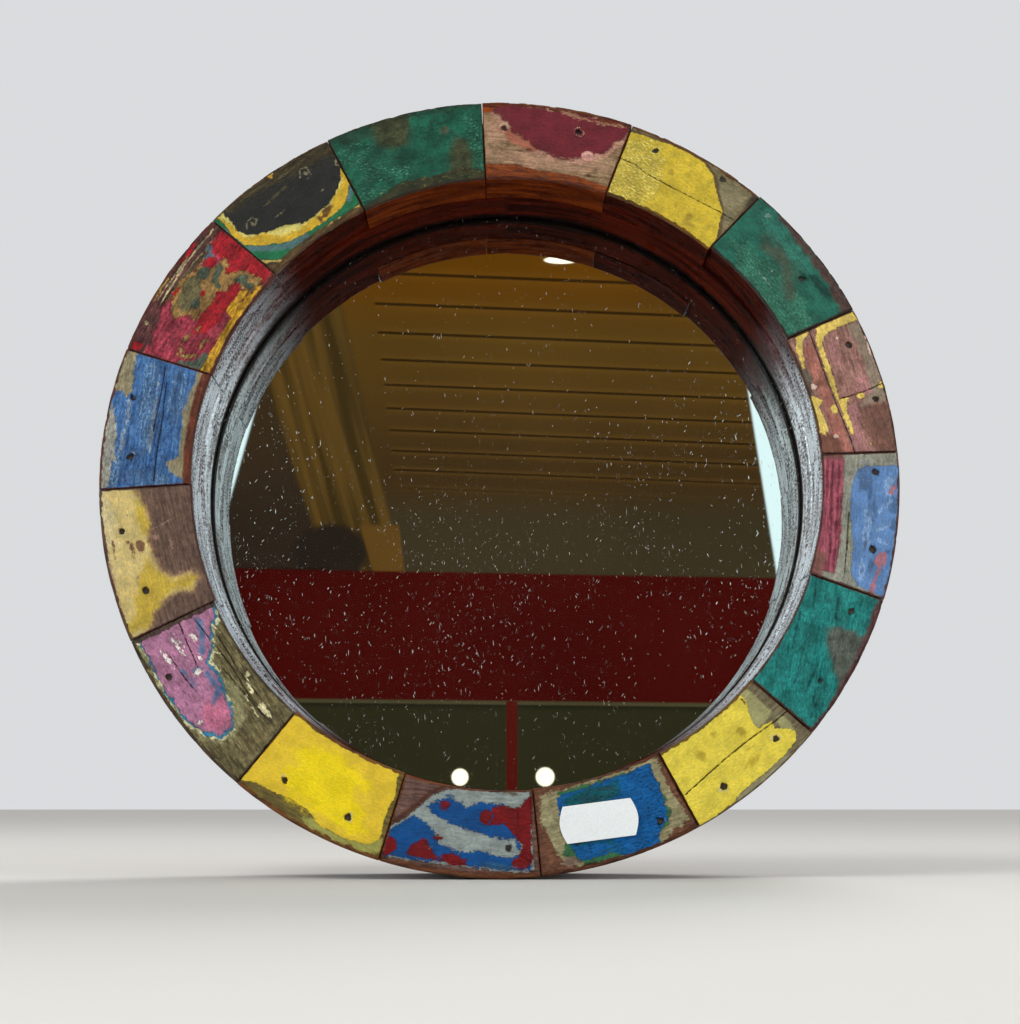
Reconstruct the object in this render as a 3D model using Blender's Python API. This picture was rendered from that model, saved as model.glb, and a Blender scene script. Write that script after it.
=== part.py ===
"""Round wall mirror in a deep wooden frame faced with reclaimed, painted boat-wood blocks.

The frame is a turned hardwood ring. Sixteen wedge blocks sawn from old painted planks are nailed
to its front, two sunk nails to a block. A flat mirror lies in a rebate at the bottom of the well,
held by a screwed back board, and a strap hanger with a swinging D-ring is screwed to that board.

Metres, +Z up. The mirror faces -Y and its wall side faces +Y. The origin is the centre of the
object's box. Depths count from the front face towards the wall, and clock angles run clockwise
from the top, as seen from the front.
"""

import math

import bmesh
import bpy
from mathutils import Matrix, Vector

# Driving dimensions.
OUTER_RADIUS = 0.140
OPENING_RADIUS = 0.110
OPENING_CENTRE = (0.0026, -0.0012)  # X and Z: the hand-cut opening is a little off centre
TOTAL_DEPTH = 0.046
BLOCK_DEPTH = 0.016
GLASS_DEPTH = 0.034  # front face to mirror surface
GLASS_THICKNESS = 0.003
BOARD_THICKNESS = 0.004
GAP = 0.0003  # between neighbouring pieces

# Frame ring.
RING_STEPS = 96
REBATE_LEDGE = 0.0043  # the mirror's rebate, beyond the opening
BOARD_LEDGE = 0.0123  # the back board's rebate, beyond the opening
WELL_CHAMFER = 0.0008
REAR_CHAMFER = 0.001

# Facing blocks.
BLOCK_RADIUS = 0.1397
ARC_STEPS = 6
ARRIS = 0.0006
FIRST_JOINT = -3.0  # clock angle in degrees
# One row for each block, clockwise: its angle in degrees, how far its inner end and its face are
# set back, in millimetres, and where its two nails are: the fraction of its angle, then the
# fraction of the way out from the opening to the rim.
BLOCKS = (
    (23.5, 0.0, 0.0, (0.15, 0.66), (0.67, 0.70)),
    (22.5, 0.0, 0.3, (0.22, 0.78), (0.73, 0.88)),
    (22.5, 1.0, 0.1, (0.14, 0.72), (0.64, 0.64)),
    (22.5, 0.0, 0.4, (0.21, 0.74), (0.63, 0.83)),
    (22.0, 0.0, 0.0, (0.14, 0.69), (0.69, 0.71)),
    (21.5, 0.4, 0.2, (0.15, 0.66), (0.70, 0.70)),
    (20.5, 0.3, 0.3, (0.21, 0.72), (0.71, 0.75)),
    (22.5, 0.0, 0.5, (0.20, 0.73), (0.75, 0.69)),
    (22.0, 0.4, 0.1, (0.19, 0.66), (0.73, 0.70)),
    (22.0, 0.0, 0.0, (0.28, 0.68), (0.76, 0.66)),
    (25.0, 0.8, 0.3, (0.23, 0.82), (0.71, 0.81)),
    (22.5, 0.0, 0.2, (0.27, 0.66), (0.71, 0.78)),
    (21.5, 0.4, 0.0, (0.23, 0.68), (0.67, 0.75)),
    (23.5, 0.0, 0.2, (0.15, 0.72), (0.68, 0.66)),
    (21.5, 0.6, 0.4, (0.18, 0.64), (0.75, 0.76)),
    (24.5, 0.0, 0.1, (0.20, 0.72), (0.74, 0.69)),
)
# Main paint colour of each block, clockwise, as linear RGB.
BLOCK_COLOURS = (
    (0.17, 0.022, 0.032),
    (0.58, 0.43, 0.045),
    (0.021, 0.141, 0.091),
    (0.28, 0.114, 0.091),
    (0.127, 0.262, 0.456),
    (0.017, 0.191, 0.156),
    (0.68, 0.55, 0.07),
    (0.002, 0.114, 0.305),
    (0.003, 0.114, 0.352),
    (0.91, 0.68, 0.022),
    (0.376, 0.127, 0.283),
    (0.61, 0.429, 0.102),
    (0.07, 0.191, 0.456),
    (0.376, 0.017, 0.026),
    (0.021, 0.019, 0.019),
    (0.017, 0.141, 0.091),
)

# Sunk nails.
NAIL_SHANK = 0.0008
NAIL_HEAD = 0.0013
NAIL_HEAD_THICKNESS = 0.0008
NAIL_SINK = 0.001
NAIL_LENGTH = 0.028
NAIL_STEPS = 8

# Screws that hold the back board.
BOARD_SCREW_RADIUS = 0.1183  # from the opening's centre
BOARD_SCREW_ANGLES = (45, 135, 225, 315)
BOARD_SCREW_SHANK = 0.0015
BOARD_SCREW_HEAD = 0.0032
BOARD_SCREW_HEAD_HEIGHT = 0.0016
BOARD_SCREW_LENGTH = 0.0137

# Strap hanger with a D-ring, in the recess behind the board.
WIRE = 0.0009
STRAP_HALF_WIDTH = 0.004
STRAP_THICKNESS = 0.0008
STRAP_DROP = 0.020  # from the pin line down to the strap's end
PIN_HEIGHT = 0.100
BAR_HALF = 0.0046
BEND = 0.0012
LEG_DROP = 0.0045
CURL_STEPS = 12
CURL_ANGLE = 250.0
HANGER_SCREW_DROPS = (0.006, 0.0155)
HANGER_SCREW_SHANK = 0.0011
HANGER_SCREW_HEAD = 0.0021
HANGER_SCREW_HEAD_HEIGHT = 0.0012
HANGER_SCREW_LENGTH = 0.0048
SCREW_STEPS = 12

# Price label stuck on the eighth block.
LABEL_BLOCK = 7
LABEL_WIDTH = 0.026
LABEL_HEIGHT = 0.012
LABEL_THICKNESS = 0.0002
LABEL_GAP = 0.0002
LABEL_BULGE = 0.0017
LABEL_STEPS = 6
LABEL_RADIUS = 0.1256
LABEL_CLOCK = 165.0
LABEL_TILT = 7.3

SHARP = math.radians(30)


def at_depth(depth):
    """Y of a depth behind the front face."""
    return depth - TOTAL_DEPTH / 2


BOARD_FRONT = GLASS_DEPTH + GLASS_THICKNESS + GAP
BOARD_REAR = BOARD_FRONT + BOARD_THICKNESS
SHOULDER_DEPTH = GLASS_DEPTH + GLASS_THICKNESS
EYE_INNER = WIRE + GAP
EYE_OUTER = EYE_INNER + STRAP_THICKNESS
PIN_Y = at_depth(BOARD_REAR) + GAP + EYE_OUTER


def clear_scene():
    for obj in list(bpy.data.objects):
        bpy.data.objects.remove(obj, do_unlink=True)


def make_material(name, colour, roughness, metallic=0.0):
    material = bpy.data.materials.new(name)
    material.use_nodes = True
    shader = material.node_tree.nodes["Principled BSDF"]
    shader.inputs["Base Color"].default_value = (*colour, 1.0)
    shader.inputs["Roughness"].default_value = roughness
    shader.inputs["Metallic"].default_value = metallic
    return material


def add_object(name, bm, material=None):
    """Turns the mesh into an object, with its faces pointing out and its round stretches smooth."""
    bmesh.ops.recalc_face_normals(bm, faces=bm.faces)
    mesh = bpy.data.meshes.new(name)
    bm.to_mesh(mesh)
    bm.free()
    mesh.shade_smooth()
    mesh.set_sharp_from_angle(angle=SHARP)
    obj = bpy.data.objects.new(name, mesh)
    bpy.context.scene.collection.objects.link(obj)
    if material:
        mesh.materials.append(material)
    return obj


def clock_turn(angle):
    """Rotation about Y that carries +Z to a clock angle in degrees."""
    return Matrix.Rotation(math.radians(angle), 4, "Y")


def clock_point(radius, angle, depth=0.0):
    return clock_turn(angle) @ Vector((0.0, at_depth(depth), radius))


def spin_profile(bm, profile, steps, closed=False):
    """Spins (radius, y) points about Y. A profile that isn't closed starts and ends on the axis."""
    verts = [bm.verts.new((radius, y, 0.0)) for radius, y in profile]
    followers = verts[1:] + verts[:1] if closed else verts[1:]
    edges = [bm.edges.new(pair) for pair in zip(verts, followers)]
    full_turn = 2 * math.pi
    spun = verts + edges
    bmesh.ops.spin(bm, geom=spun, axis=(0, 1, 0), angle=full_turn, steps=steps, use_merge=True)
    bmesh.ops.remove_doubles(bm, verts=bm.verts, dist=1e-6)


def add_turned(bm, profile, steps, place):
    """Adds a turned solid to the mesh, moved to its place."""
    piece = bmesh.new()
    spin_profile(piece, profile, steps)
    piece.transform(place)
    bmesh.ops.recalc_face_normals(piece, faces=piece.faces)
    loose = bpy.data.meshes.new("loose")
    piece.to_mesh(loose)
    piece.free()
    bm.from_mesh(loose)
    bpy.data.meshes.remove(loose)


def cut(target, cutter):
    """Subtracts the cutter, which stays in the file as a hidden guide."""
    cutter.hide_render = True
    cutter.display_type = "WIRE"
    modifier = target.modifiers.new("holes", "BOOLEAN")
    modifier.operation = "DIFFERENCE"
    modifier.solver = "EXACT"
    modifier.object = cutter


def opening_radius(angle):
    """Distance from the frame's centre to the off-centre opening, along a clock angle."""
    turn = math.radians(angle)
    across, up = OPENING_CENTRE
    along = across * math.sin(turn) + up * math.cos(turn)
    aside = across * math.cos(turn) - up * math.sin(turn)
    return along + math.sqrt(OPENING_RADIUS**2 - aside**2)


def ring_profile():
    """Section of the frame ring, as (radius, y) points."""
    front = at_depth(BLOCK_DEPTH + GAP)
    lip = at_depth(GLASS_DEPTH - GAP)
    shoulder = at_depth(SHOULDER_DEPTH)
    rear = at_depth(TOTAL_DEPTH)
    rebate = OPENING_RADIUS + REBATE_LEDGE
    board_rebate = OPENING_RADIUS + BOARD_LEDGE
    return (
        (OUTER_RADIUS, front),
        (OUTER_RADIUS, rear - REAR_CHAMFER),
        (OUTER_RADIUS - REAR_CHAMFER, rear),
        (board_rebate, rear),
        (board_rebate, shoulder),
        (rebate, shoulder),
        (rebate, lip),
        (OPENING_RADIUS, lip),
        (OPENING_RADIUS, front + WELL_CHAMFER),
        (OPENING_RADIUS + WELL_CHAMFER, front),
    )


def make_base_ring(material):
    bm = bmesh.new()
    spin_profile(bm, ring_profile(), RING_STEPS, closed=True)
    between = (OUTER_RADIUS + OPENING_RADIUS + BOARD_LEDGE) / 2
    inner = [vert for vert in bm.verts if math.hypot(vert.co.x, vert.co.z) < between]
    across, up = OPENING_CENTRE
    bmesh.ops.translate(bm, verts=inner, vec=(across, 0.0, up))
    return add_object("base_ring", bm, material)


def block_outline(start, end, set_back):
    """Corner and arc points of a block, with half a gap left at each joint."""
    rim = []
    inner = []
    for step in range(ARC_STEPS + 1):
        angle = start + (end - start) * step / ARC_STEPS
        clearance = (1 - 2 * step / ARC_STEPS) * GAP / 2
        bore = opening_radius(angle) + set_back
        rim.append((BLOCK_RADIUS, angle + math.degrees(clearance / BLOCK_RADIUS)))
        inner.append((bore, angle + math.degrees(clearance / bore)))
    return rim + inner[::-1]


def make_block(name, start, end, set_back, drop, material):
    """A wedge block, modelled about its own middle line and turned to its clock angle."""
    middle = (start + end) / 2
    bm = bmesh.new()
    corners = []
    for radius, angle in block_outline(start, end, set_back):
        turn = math.radians(angle - middle)
        place = (radius * math.sin(turn), at_depth(drop), radius * math.cos(turn))
        corners.append(bm.verts.new(place))
    face = bm.faces.new(corners)
    grown = bmesh.ops.extrude_face_region(bm, geom=[face])["geom"]
    moved = [item for item in grown if isinstance(item, bmesh.types.BMVert)]
    bmesh.ops.translate(bm, verts=moved, vec=(0.0, BLOCK_DEPTH - drop, 0.0))
    block = add_object(name, bm, material)
    block.rotation_euler.y = math.radians(middle)
    bevel = block.modifiers.new("worn_arris", "BEVEL")
    bevel.width = ARRIS
    bevel.segments = 1
    bevel.angle_limit = SHARP
    return block


def nail_hole_profile(drop):
    """Clearance for a nail, from in front of the block's face to beyond the nail's point."""
    head = NAIL_HEAD + GAP
    shank = NAIL_SHANK + GAP
    seat = drop + NAIL_SINK + NAIL_HEAD_THICKNESS + GAP
    bottom = drop + NAIL_SINK + NAIL_LENGTH + GAP
    in_front = at_depth(-NAIL_SINK)
    return (
        (0.0, in_front),
        (head, in_front),
        (head, at_depth(seat)),
        (shank, at_depth(seat)),
        (shank, at_depth(bottom)),
        (0.0, at_depth(bottom)),
    )


def nail_profile(drop):
    top = drop + NAIL_SINK
    under_head = top + NAIL_HEAD_THICKNESS
    tip = top + NAIL_LENGTH
    taper = 3 * NAIL_SHANK
    return (
        (0.0, at_depth(top)),
        (NAIL_HEAD, at_depth(top)),
        (NAIL_HEAD, at_depth(under_head)),
        (NAIL_SHANK, at_depth(under_head)),
        (NAIL_SHANK, at_depth(tip - taper)),
        (0.0, at_depth(tip)),
    )


def screw_profile(seat, head, head_height, shank, length):
    """Domed screw pointing towards the front. seat is the Y of the underside of its head."""
    tip = seat - length
    return (
        (0.0, seat + head_height),
        (0.55 * head, seat + 0.85 * head_height),
        (head, seat + 0.25 * head_height),
        (head, seat),
        (shank, seat),
        (shank, tip + 1.5 * shank),
        (0.0, tip),
    )


def clearance_profile(radius, front, rear):
    return ((0.0, front), (radius, front), (radius, rear), (0.0, rear))


def shift_to(x, z):
    return Matrix.Translation((x, 0.0, z))


def board_screw_places():
    across, up = OPENING_CENTRE
    for angle in BOARD_SCREW_ANGLES:
        turn = math.radians(angle)
        x = across + BOARD_SCREW_RADIUS * math.sin(turn)
        z = up + BOARD_SCREW_RADIUS * math.cos(turn)
        yield shift_to(x, z)


def hanger_screw_places():
    for drop in HANGER_SCREW_DROPS:
        yield shift_to(0.0, PIN_HEIGHT - drop)


def nail_place(angle, outward):
    bore = opening_radius(angle)
    return clock_turn(angle) @ shift_to(0.0, bore + outward * (BLOCK_RADIUS - bore))


def make_facing(nail_steel):
    """The sixteen blocks and their nails. Returns one mesh of all nail holes, for the ring."""
    ring_holes = bmesh.new()
    start = FIRST_JOINT
    for index, (width, set_back_mm, drop_mm, *nails) in enumerate(BLOCKS):
        label = f"{index + 1:02d}"
        drop = drop_mm / 1000
        colour = BLOCK_COLOURS[index]
        paint = make_material(f"painted_wood_{label}", colour, 0.5)
        end = start + width
        block = make_block(f"facing_block_{label}", start, end, set_back_mm / 1000, drop, paint)
        block_holes = bmesh.new()
        for letter, (along, outward) in zip("ab", nails):
            place = nail_place(start + width * along, outward)
            nail = bmesh.new()
            add_turned(nail, nail_profile(drop), NAIL_STEPS, place)
            add_object(f"nail_{label}_{letter}", nail, nail_steel)
            for holes in (block_holes, ring_holes):
                add_turned(holes, nail_hole_profile(drop), NAIL_STEPS, place)
        cutter = add_object(f"nail_hole_guide_{label}", block_holes)
        cut(block, cutter)
        start = end
    return ring_holes


def make_mirror(material):
    radius = OPENING_RADIUS + REBATE_LEDGE - GAP
    front = at_depth(GLASS_DEPTH)
    rear = front + GLASS_THICKNESS
    edge = 0.0005
    profile = (
        (0.0, front),
        (radius - edge, front),
        (radius, front + edge),
        (radius, rear),
        (0.0, rear),
    )
    bm = bmesh.new()
    add_turned(bm, profile, RING_STEPS, shift_to(*OPENING_CENTRE))
    add_object("mirror_glass", bm, material)


def make_back_board(material, screw_steel):
    front = at_depth(BOARD_FRONT)
    rear = at_depth(BOARD_REAR)
    radius = OPENING_RADIUS + BOARD_LEDGE - GAP
    bm = bmesh.new()
    profile = clearance_profile(radius, front, rear)
    add_turned(bm, profile, RING_STEPS, shift_to(*OPENING_CENTRE))
    board = add_object("back_board", bm, material)
    holes = bmesh.new()
    outside = 0.001
    for radius, places in (
        (BOARD_SCREW_SHANK + GAP, board_screw_places()),
        (HANGER_SCREW_SHANK + GAP, hanger_screw_places()),
    ):
        for place in places:
            hole = clearance_profile(radius, front - outside, rear + outside)
            add_turned(holes, hole, SCREW_STEPS, place)
    cut(board, add_object("board_hole_guide", holes))
    profile = screw_profile(
        rear + GAP,
        BOARD_SCREW_HEAD,
        BOARD_SCREW_HEAD_HEIGHT,
        BOARD_SCREW_SHANK,
        BOARD_SCREW_LENGTH,
    )
    for number, place in enumerate(board_screw_places(), 1):
        bm = bmesh.new()
        add_turned(bm, profile, SCREW_STEPS, place)
        add_object(f"board_screw_{number}", bm, screw_steel)


def add_board_screw_pilots(ring_holes):
    """Blind holes in the ring's shoulder for the board screws."""
    mouth = at_depth(SHOULDER_DEPTH + GAP)
    bottom = at_depth(BOARD_REAR) - BOARD_SCREW_LENGTH
    profile = clearance_profile(BOARD_SCREW_SHANK + GAP, bottom, mouth)
    for place in board_screw_places():
        add_turned(ring_holes, profile, SCREW_STEPS, place)


def strap_section():
    """Side view of the strap as (y, z) points: a flat leaf that curls over the ring's bar."""
    leaf_back = PIN_Y - EYE_OUTER
    leaf_front = PIN_Y - EYE_INNER
    foot = PIN_HEIGHT - STRAP_DROP
    outer = []
    inner = []
    for step in range(CURL_STEPS + 1):
        turn = math.radians(180.0 - CURL_ANGLE * step / CURL_STEPS)
        direction = (math.cos(turn), math.sin(turn))
        outer.append((PIN_Y + EYE_OUTER * direction[0], PIN_HEIGHT + EYE_OUTER * direction[1]))
        inner.append((PIN_Y + EYE_INNER * direction[0], PIN_HEIGHT + EYE_INNER * direction[1]))
    return [(leaf_front, foot), (leaf_back, foot)] + outer + inner[::-1]


def make_hanger_strap(material):
    bm = bmesh.new()
    section = strap_section()
    corners = [bm.verts.new((-STRAP_HALF_WIDTH, y, z)) for y, z in section]
    face = bm.faces.new(corners)
    grown = bmesh.ops.extrude_face_region(bm, geom=[face])["geom"]
    moved = [item for item in grown if isinstance(item, bmesh.types.BMVert)]
    bmesh.ops.translate(bm, verts=moved, vec=(2 * STRAP_HALF_WIDTH, 0.0, 0.0))
    strap = add_object("hanger_strap", bm, material)
    holes = bmesh.new()
    rear = PIN_Y - EYE_INNER
    outside = 0.0005
    radius = HANGER_SCREW_SHANK + GAP
    hole = clearance_profile(radius, rear - STRAP_THICKNESS - outside, rear + outside)
    for place in hanger_screw_places():
        add_turned(holes, hole, SCREW_STEPS, place)
    cut(strap, add_object("strap_hole_guide", holes))


def make_hanger_screws(material):
    seat = PIN_Y - EYE_INNER + GAP
    profile = screw_profile(
        seat,
        HANGER_SCREW_HEAD,
        HANGER_SCREW_HEAD_HEIGHT,
        HANGER_SCREW_SHANK,
        HANGER_SCREW_LENGTH,
    )
    for number, place in enumerate(hanger_screw_places(), 1):
        bm = bmesh.new()
        add_turned(bm, profile, SCREW_STEPS, place)
        add_object(f"hanger_screw_{number}", bm, material)


def ring_wire_path():
    """The D-ring's centre line as (x, z) points about its bar, hanging down."""
    points = []
    bend_steps = 3
    for step in range(bend_steps + 1):
        turn = math.radians(90.0 - 90.0 * step / bend_steps)
        points.append((BAR_HALF + BEND * math.cos(turn), BEND * math.sin(turn) - BEND))
    half_width = BAR_HALF + BEND
    bow_steps = 14
    for step in range(bow_steps + 1):
        turn = math.radians(-180.0 * step / bow_steps)
        points.append((half_width * math.cos(turn), half_width * math.sin(turn) - LEG_DROP))
    points.extend((-x, z) for x, z in points[bend_steps::-1])
    return points


def make_hanger_ring(material):
    """Round wire bent to a D. Its origin lies on the bar, which is the hinge line."""
    curve = bpy.data.curves.new("hanger_ring", "CURVE")
    curve.dimensions = "3D"
    curve.bevel_depth = WIRE
    curve.bevel_resolution = 2
    points = ring_wire_path()
    spline = curve.splines.new("POLY")
    spline.points.add(len(points) - 1)
    for point, (x, z) in zip(spline.points, points):
        point.co = (x, 0.0, z, 1.0)
    spline.use_cyclic_u = True
    spline.use_smooth = True
    ring = bpy.data.objects.new("hanger_ring", curve)
    bpy.context.scene.collection.objects.link(ring)
    ring.location = (0.0, PIN_Y, PIN_HEIGHT)
    curve.materials.append(material)


def label_outline():
    """Rectangle whose short ends bulge outwards, as a price gun's labels do."""
    straight = LABEL_WIDTH / 2 - LABEL_BULGE
    right = []
    for step in range(LABEL_STEPS + 1):
        z = LABEL_HEIGHT * (0.5 - step / LABEL_STEPS)
        x = straight + LABEL_BULGE * math.cos(math.pi * z / LABEL_HEIGHT)
        right.append((x, z))
    return right + [(-x, -z) for x, z in right]


def make_price_label(material):
    face_depth = BLOCKS[LABEL_BLOCK][2] / 1000
    rear = at_depth(face_depth - LABEL_GAP)
    bm = bmesh.new()
    corners = [bm.verts.new((x, 0.0, z)) for x, z in label_outline()]
    face = bm.faces.new(corners)
    grown = bmesh.ops.extrude_face_region(bm, geom=[face])["geom"]
    moved = [item for item in grown if isinstance(item, bmesh.types.BMVert)]
    bmesh.ops.translate(bm, verts=moved, vec=(0.0, -LABEL_THICKNESS, 0.0))
    label = add_object("price_label", bm, material)
    label.location = clock_point(LABEL_RADIUS, LABEL_CLOCK)
    label.location.y = rear
    label.rotation_euler.y = -math.radians(LABEL_TILT)


def main():
    clear_scene()
    mahogany = make_material("mahogany_varnish", (0.075, 0.012, 0.006), 0.3)
    silvered = make_material("silvered_glass", (0.82, 0.85, 0.85), 0.03, 1.0)
    hardboard = make_material("hardboard", (0.2, 0.105, 0.05), 0.75)
    nail_steel = make_material("rusted_nail_steel", (0.05, 0.032, 0.024), 0.6, 0.6)
    zinc = make_material("zinc_plated_steel", (0.62, 0.62, 0.6), 0.35, 1.0)
    paper = make_material("label_paper", (0.86, 0.87, 0.84), 0.65)
    ring = make_base_ring(mahogany)
    ring_holes = make_facing(nail_steel)
    add_board_screw_pilots(ring_holes)
    cut(ring, add_object("ring_hole_guide", ring_holes))
    make_mirror(silvered)
    make_back_board(hardboard, zinc)
    make_hanger_strap(zinc)
    make_hanger_ring(zinc)
    make_hanger_screws(zinc)
    make_price_label(paper)


main()
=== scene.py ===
import math
from collections import namedtuple

import bmesh
import bpy
import numpy as np
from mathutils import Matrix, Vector


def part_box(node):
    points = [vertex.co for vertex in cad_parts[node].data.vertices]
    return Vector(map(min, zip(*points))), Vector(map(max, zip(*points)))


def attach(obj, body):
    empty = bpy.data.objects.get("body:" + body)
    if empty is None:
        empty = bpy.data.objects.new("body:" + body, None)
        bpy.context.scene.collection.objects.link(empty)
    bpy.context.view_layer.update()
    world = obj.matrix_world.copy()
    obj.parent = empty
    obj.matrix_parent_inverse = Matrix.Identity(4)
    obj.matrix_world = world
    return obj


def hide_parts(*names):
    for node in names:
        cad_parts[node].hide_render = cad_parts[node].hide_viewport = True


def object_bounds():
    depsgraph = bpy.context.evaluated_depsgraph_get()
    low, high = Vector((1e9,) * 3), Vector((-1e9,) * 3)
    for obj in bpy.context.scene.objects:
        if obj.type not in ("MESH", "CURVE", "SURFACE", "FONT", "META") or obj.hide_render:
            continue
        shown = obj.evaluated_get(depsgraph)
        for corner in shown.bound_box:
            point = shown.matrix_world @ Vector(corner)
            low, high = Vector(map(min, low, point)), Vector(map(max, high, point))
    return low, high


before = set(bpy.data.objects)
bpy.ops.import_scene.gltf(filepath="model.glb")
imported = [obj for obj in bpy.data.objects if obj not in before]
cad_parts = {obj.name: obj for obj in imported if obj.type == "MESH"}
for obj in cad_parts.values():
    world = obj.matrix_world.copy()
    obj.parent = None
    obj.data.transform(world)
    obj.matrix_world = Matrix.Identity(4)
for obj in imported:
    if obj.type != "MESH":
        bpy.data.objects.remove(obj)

cad_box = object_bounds()

# Looks of the round boat-wood mirror. Places in the shared frame and on the stage are in metres,
# and meshes and noise are worked out in mm. A block's own plan is in tenths of the block, as points
# (s, t): s clockwise from its first joint, t outwards from the opening.
MM = 0.001
BODY = "mirror"
OUTER_RADIUS = (cad_box[1].x - cad_box[0].x) / 2
FRONT = cad_box[0].y
glass_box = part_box("mirror_glass")
OPENING = (glass_box[0] + glass_box[1]) / 2  # centre of the well

# Meshes, in mm unless they say otherwise.
GRID = 0.35  # spacing of a block's face mesh
WALL_DEPTHS = (0.5, 1.2, 2.2, 3.5, 5, 6.5, 8, 9.5, 11, 12.5, 14)
JOINT_ARRIS = 0.3  # how far a block's edges are rounded at its joints
RIM_ARRIS = 0.8  # and at the opening and the rim
CRACK_DEPTH = 0.3
CRACK_WIDTH = 0.32
HOLE_DEPTH = 1.9
DENT_DEPTH = 0.5  # where a nail's hole is filled with paint
FAR = 9.0  # stands for too far from a crack to matter
ARRIS = 0.5  # of the glass and the board
CHAMFER = 0.35  # of the base ring's corners
RING_TURNS = 720  # points round the base ring
PLATE_TURNS = 192  # points round the glass and the board
SHARP = math.radians(40)  # edges sharper than this aren't shaded smooth
LABEL_TILT = math.radians(7.3)

# Camera, and the card that stands for the room that the mirror shows.
CAMERA = Vector((-0.011 * OUTER_RADIUS, FRONT - 3.134 * OUTER_RADIUS, -0.839 * OUTER_RADIUS))
CAMERA_AIM = Vector((0.0106, 0.9749, 0.2226))
CARD_Y = -0.8  # metres
TENTH = 0.011  # a tenth of the opening's radius, in metres
ROOM_GLOW = 1.47
LAMP_GLOW = 2.2
WINDOW_GLOW = 8.0  # how bright the windows are beyond what the mirror shows of them
SKY = 0.45  # how bright the sky is as light
SKY_FOR_GLOSSY = 0.1  # in reflections
SKY_FOR_CAMERA = 0.76  # as a backdrop


# ---------------------------------------------------------------- noise

def hashed(cells, seed):
    """A fixed pseudo-random value from -1 to 1 for each whole-numbered cell."""
    mixed = cells[:, 0] * 374761393 + cells[:, 1] * 668265263 + cells[:, 2] * 1442695041 + seed * 97
    mixed = (mixed ^ (mixed >> 13)) * 1274126177
    mixed = mixed ^ (mixed >> 16)
    return (mixed & 0xFFFF) / 32767.5 - 1.0


def noise(points, seed):
    """Smooth noise from -1 to 1, one feature per unit."""
    cell = np.floor(points).astype(np.int64)
    part = points - cell
    fade = part * part * (3 - 2 * part)
    total = np.zeros(len(points))
    for corner in np.ndindex(2, 2, 2):
        weight = np.prod(np.where(corner, fade, 1 - fade), axis=1)
        total += weight * hashed(cell + np.array(corner), seed)
    return total


def layered_noise(points, seed, octaves=3):
    """Noise with finer and weaker noise over it."""
    total = np.zeros(len(points))
    for octave in range(octaves):
        total += noise(points * 2**octave, seed + 31 * octave) / 2**octave
    return total / (2 - 2 ** (1 - octaves))


def smooth(low, high, value):
    """Rises softly from 0 at low to 1 at high."""
    part = np.clip((value - low) / (high - low), 0, 1)
    return part * part * (3 - 2 * part)


# ---------------------------------------------------------------- plan shapes, in tenths

def area(*points):
    """Everything inside a line through these points."""
    return ("area", points)


def spot(s, t, across, up):
    """An ellipse about (s, t), by its half widths."""
    return ("spot", (s, t, across, up))


def line(width, *points):
    """A stroke; width is its half width in mm."""
    return ("line", (width, points))


def segment_distance(at, start, end):
    """Distance from each point to a straight stretch."""
    along = end - start
    share = np.clip((at - start) @ along / max(along @ along, 1e-9), 0, 1)
    return np.linalg.norm(at - start - share[:, None] * along, axis=1)


def inside_area(at, corners):
    """Distance from each point to the outline through the corners, positive inside it."""
    inside = np.zeros(len(at), bool)
    nearest = np.full(len(at), 1e9)
    for start, end in zip(corners, np.roll(corners, -1, axis=0)):
        nearest = np.minimum(nearest, segment_distance(at, start, end))
        crosses = (start[1] > at[:, 1]) != (end[1] > at[:, 1])
        rise = end[1] - start[1]
        where = start[0] + (end[0] - start[0]) * (at[:, 1] - start[1]) / (rise if rise else 1e-9)
        inside ^= crosses & (at[:, 0] < where)
    return np.where(inside, nearest, -nearest)


def bore_at(clock, bore):
    """Distance from the frame's centre to the off-centre opening's wall, in mm."""
    across = OPENING.x / MM
    up = OPENING.z / MM
    along = across * np.sin(clock) + up * np.cos(clock)
    aside = across * np.cos(clock) - up * np.sin(clock)
    return along + np.sqrt(bore**2 - aside**2)


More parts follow.
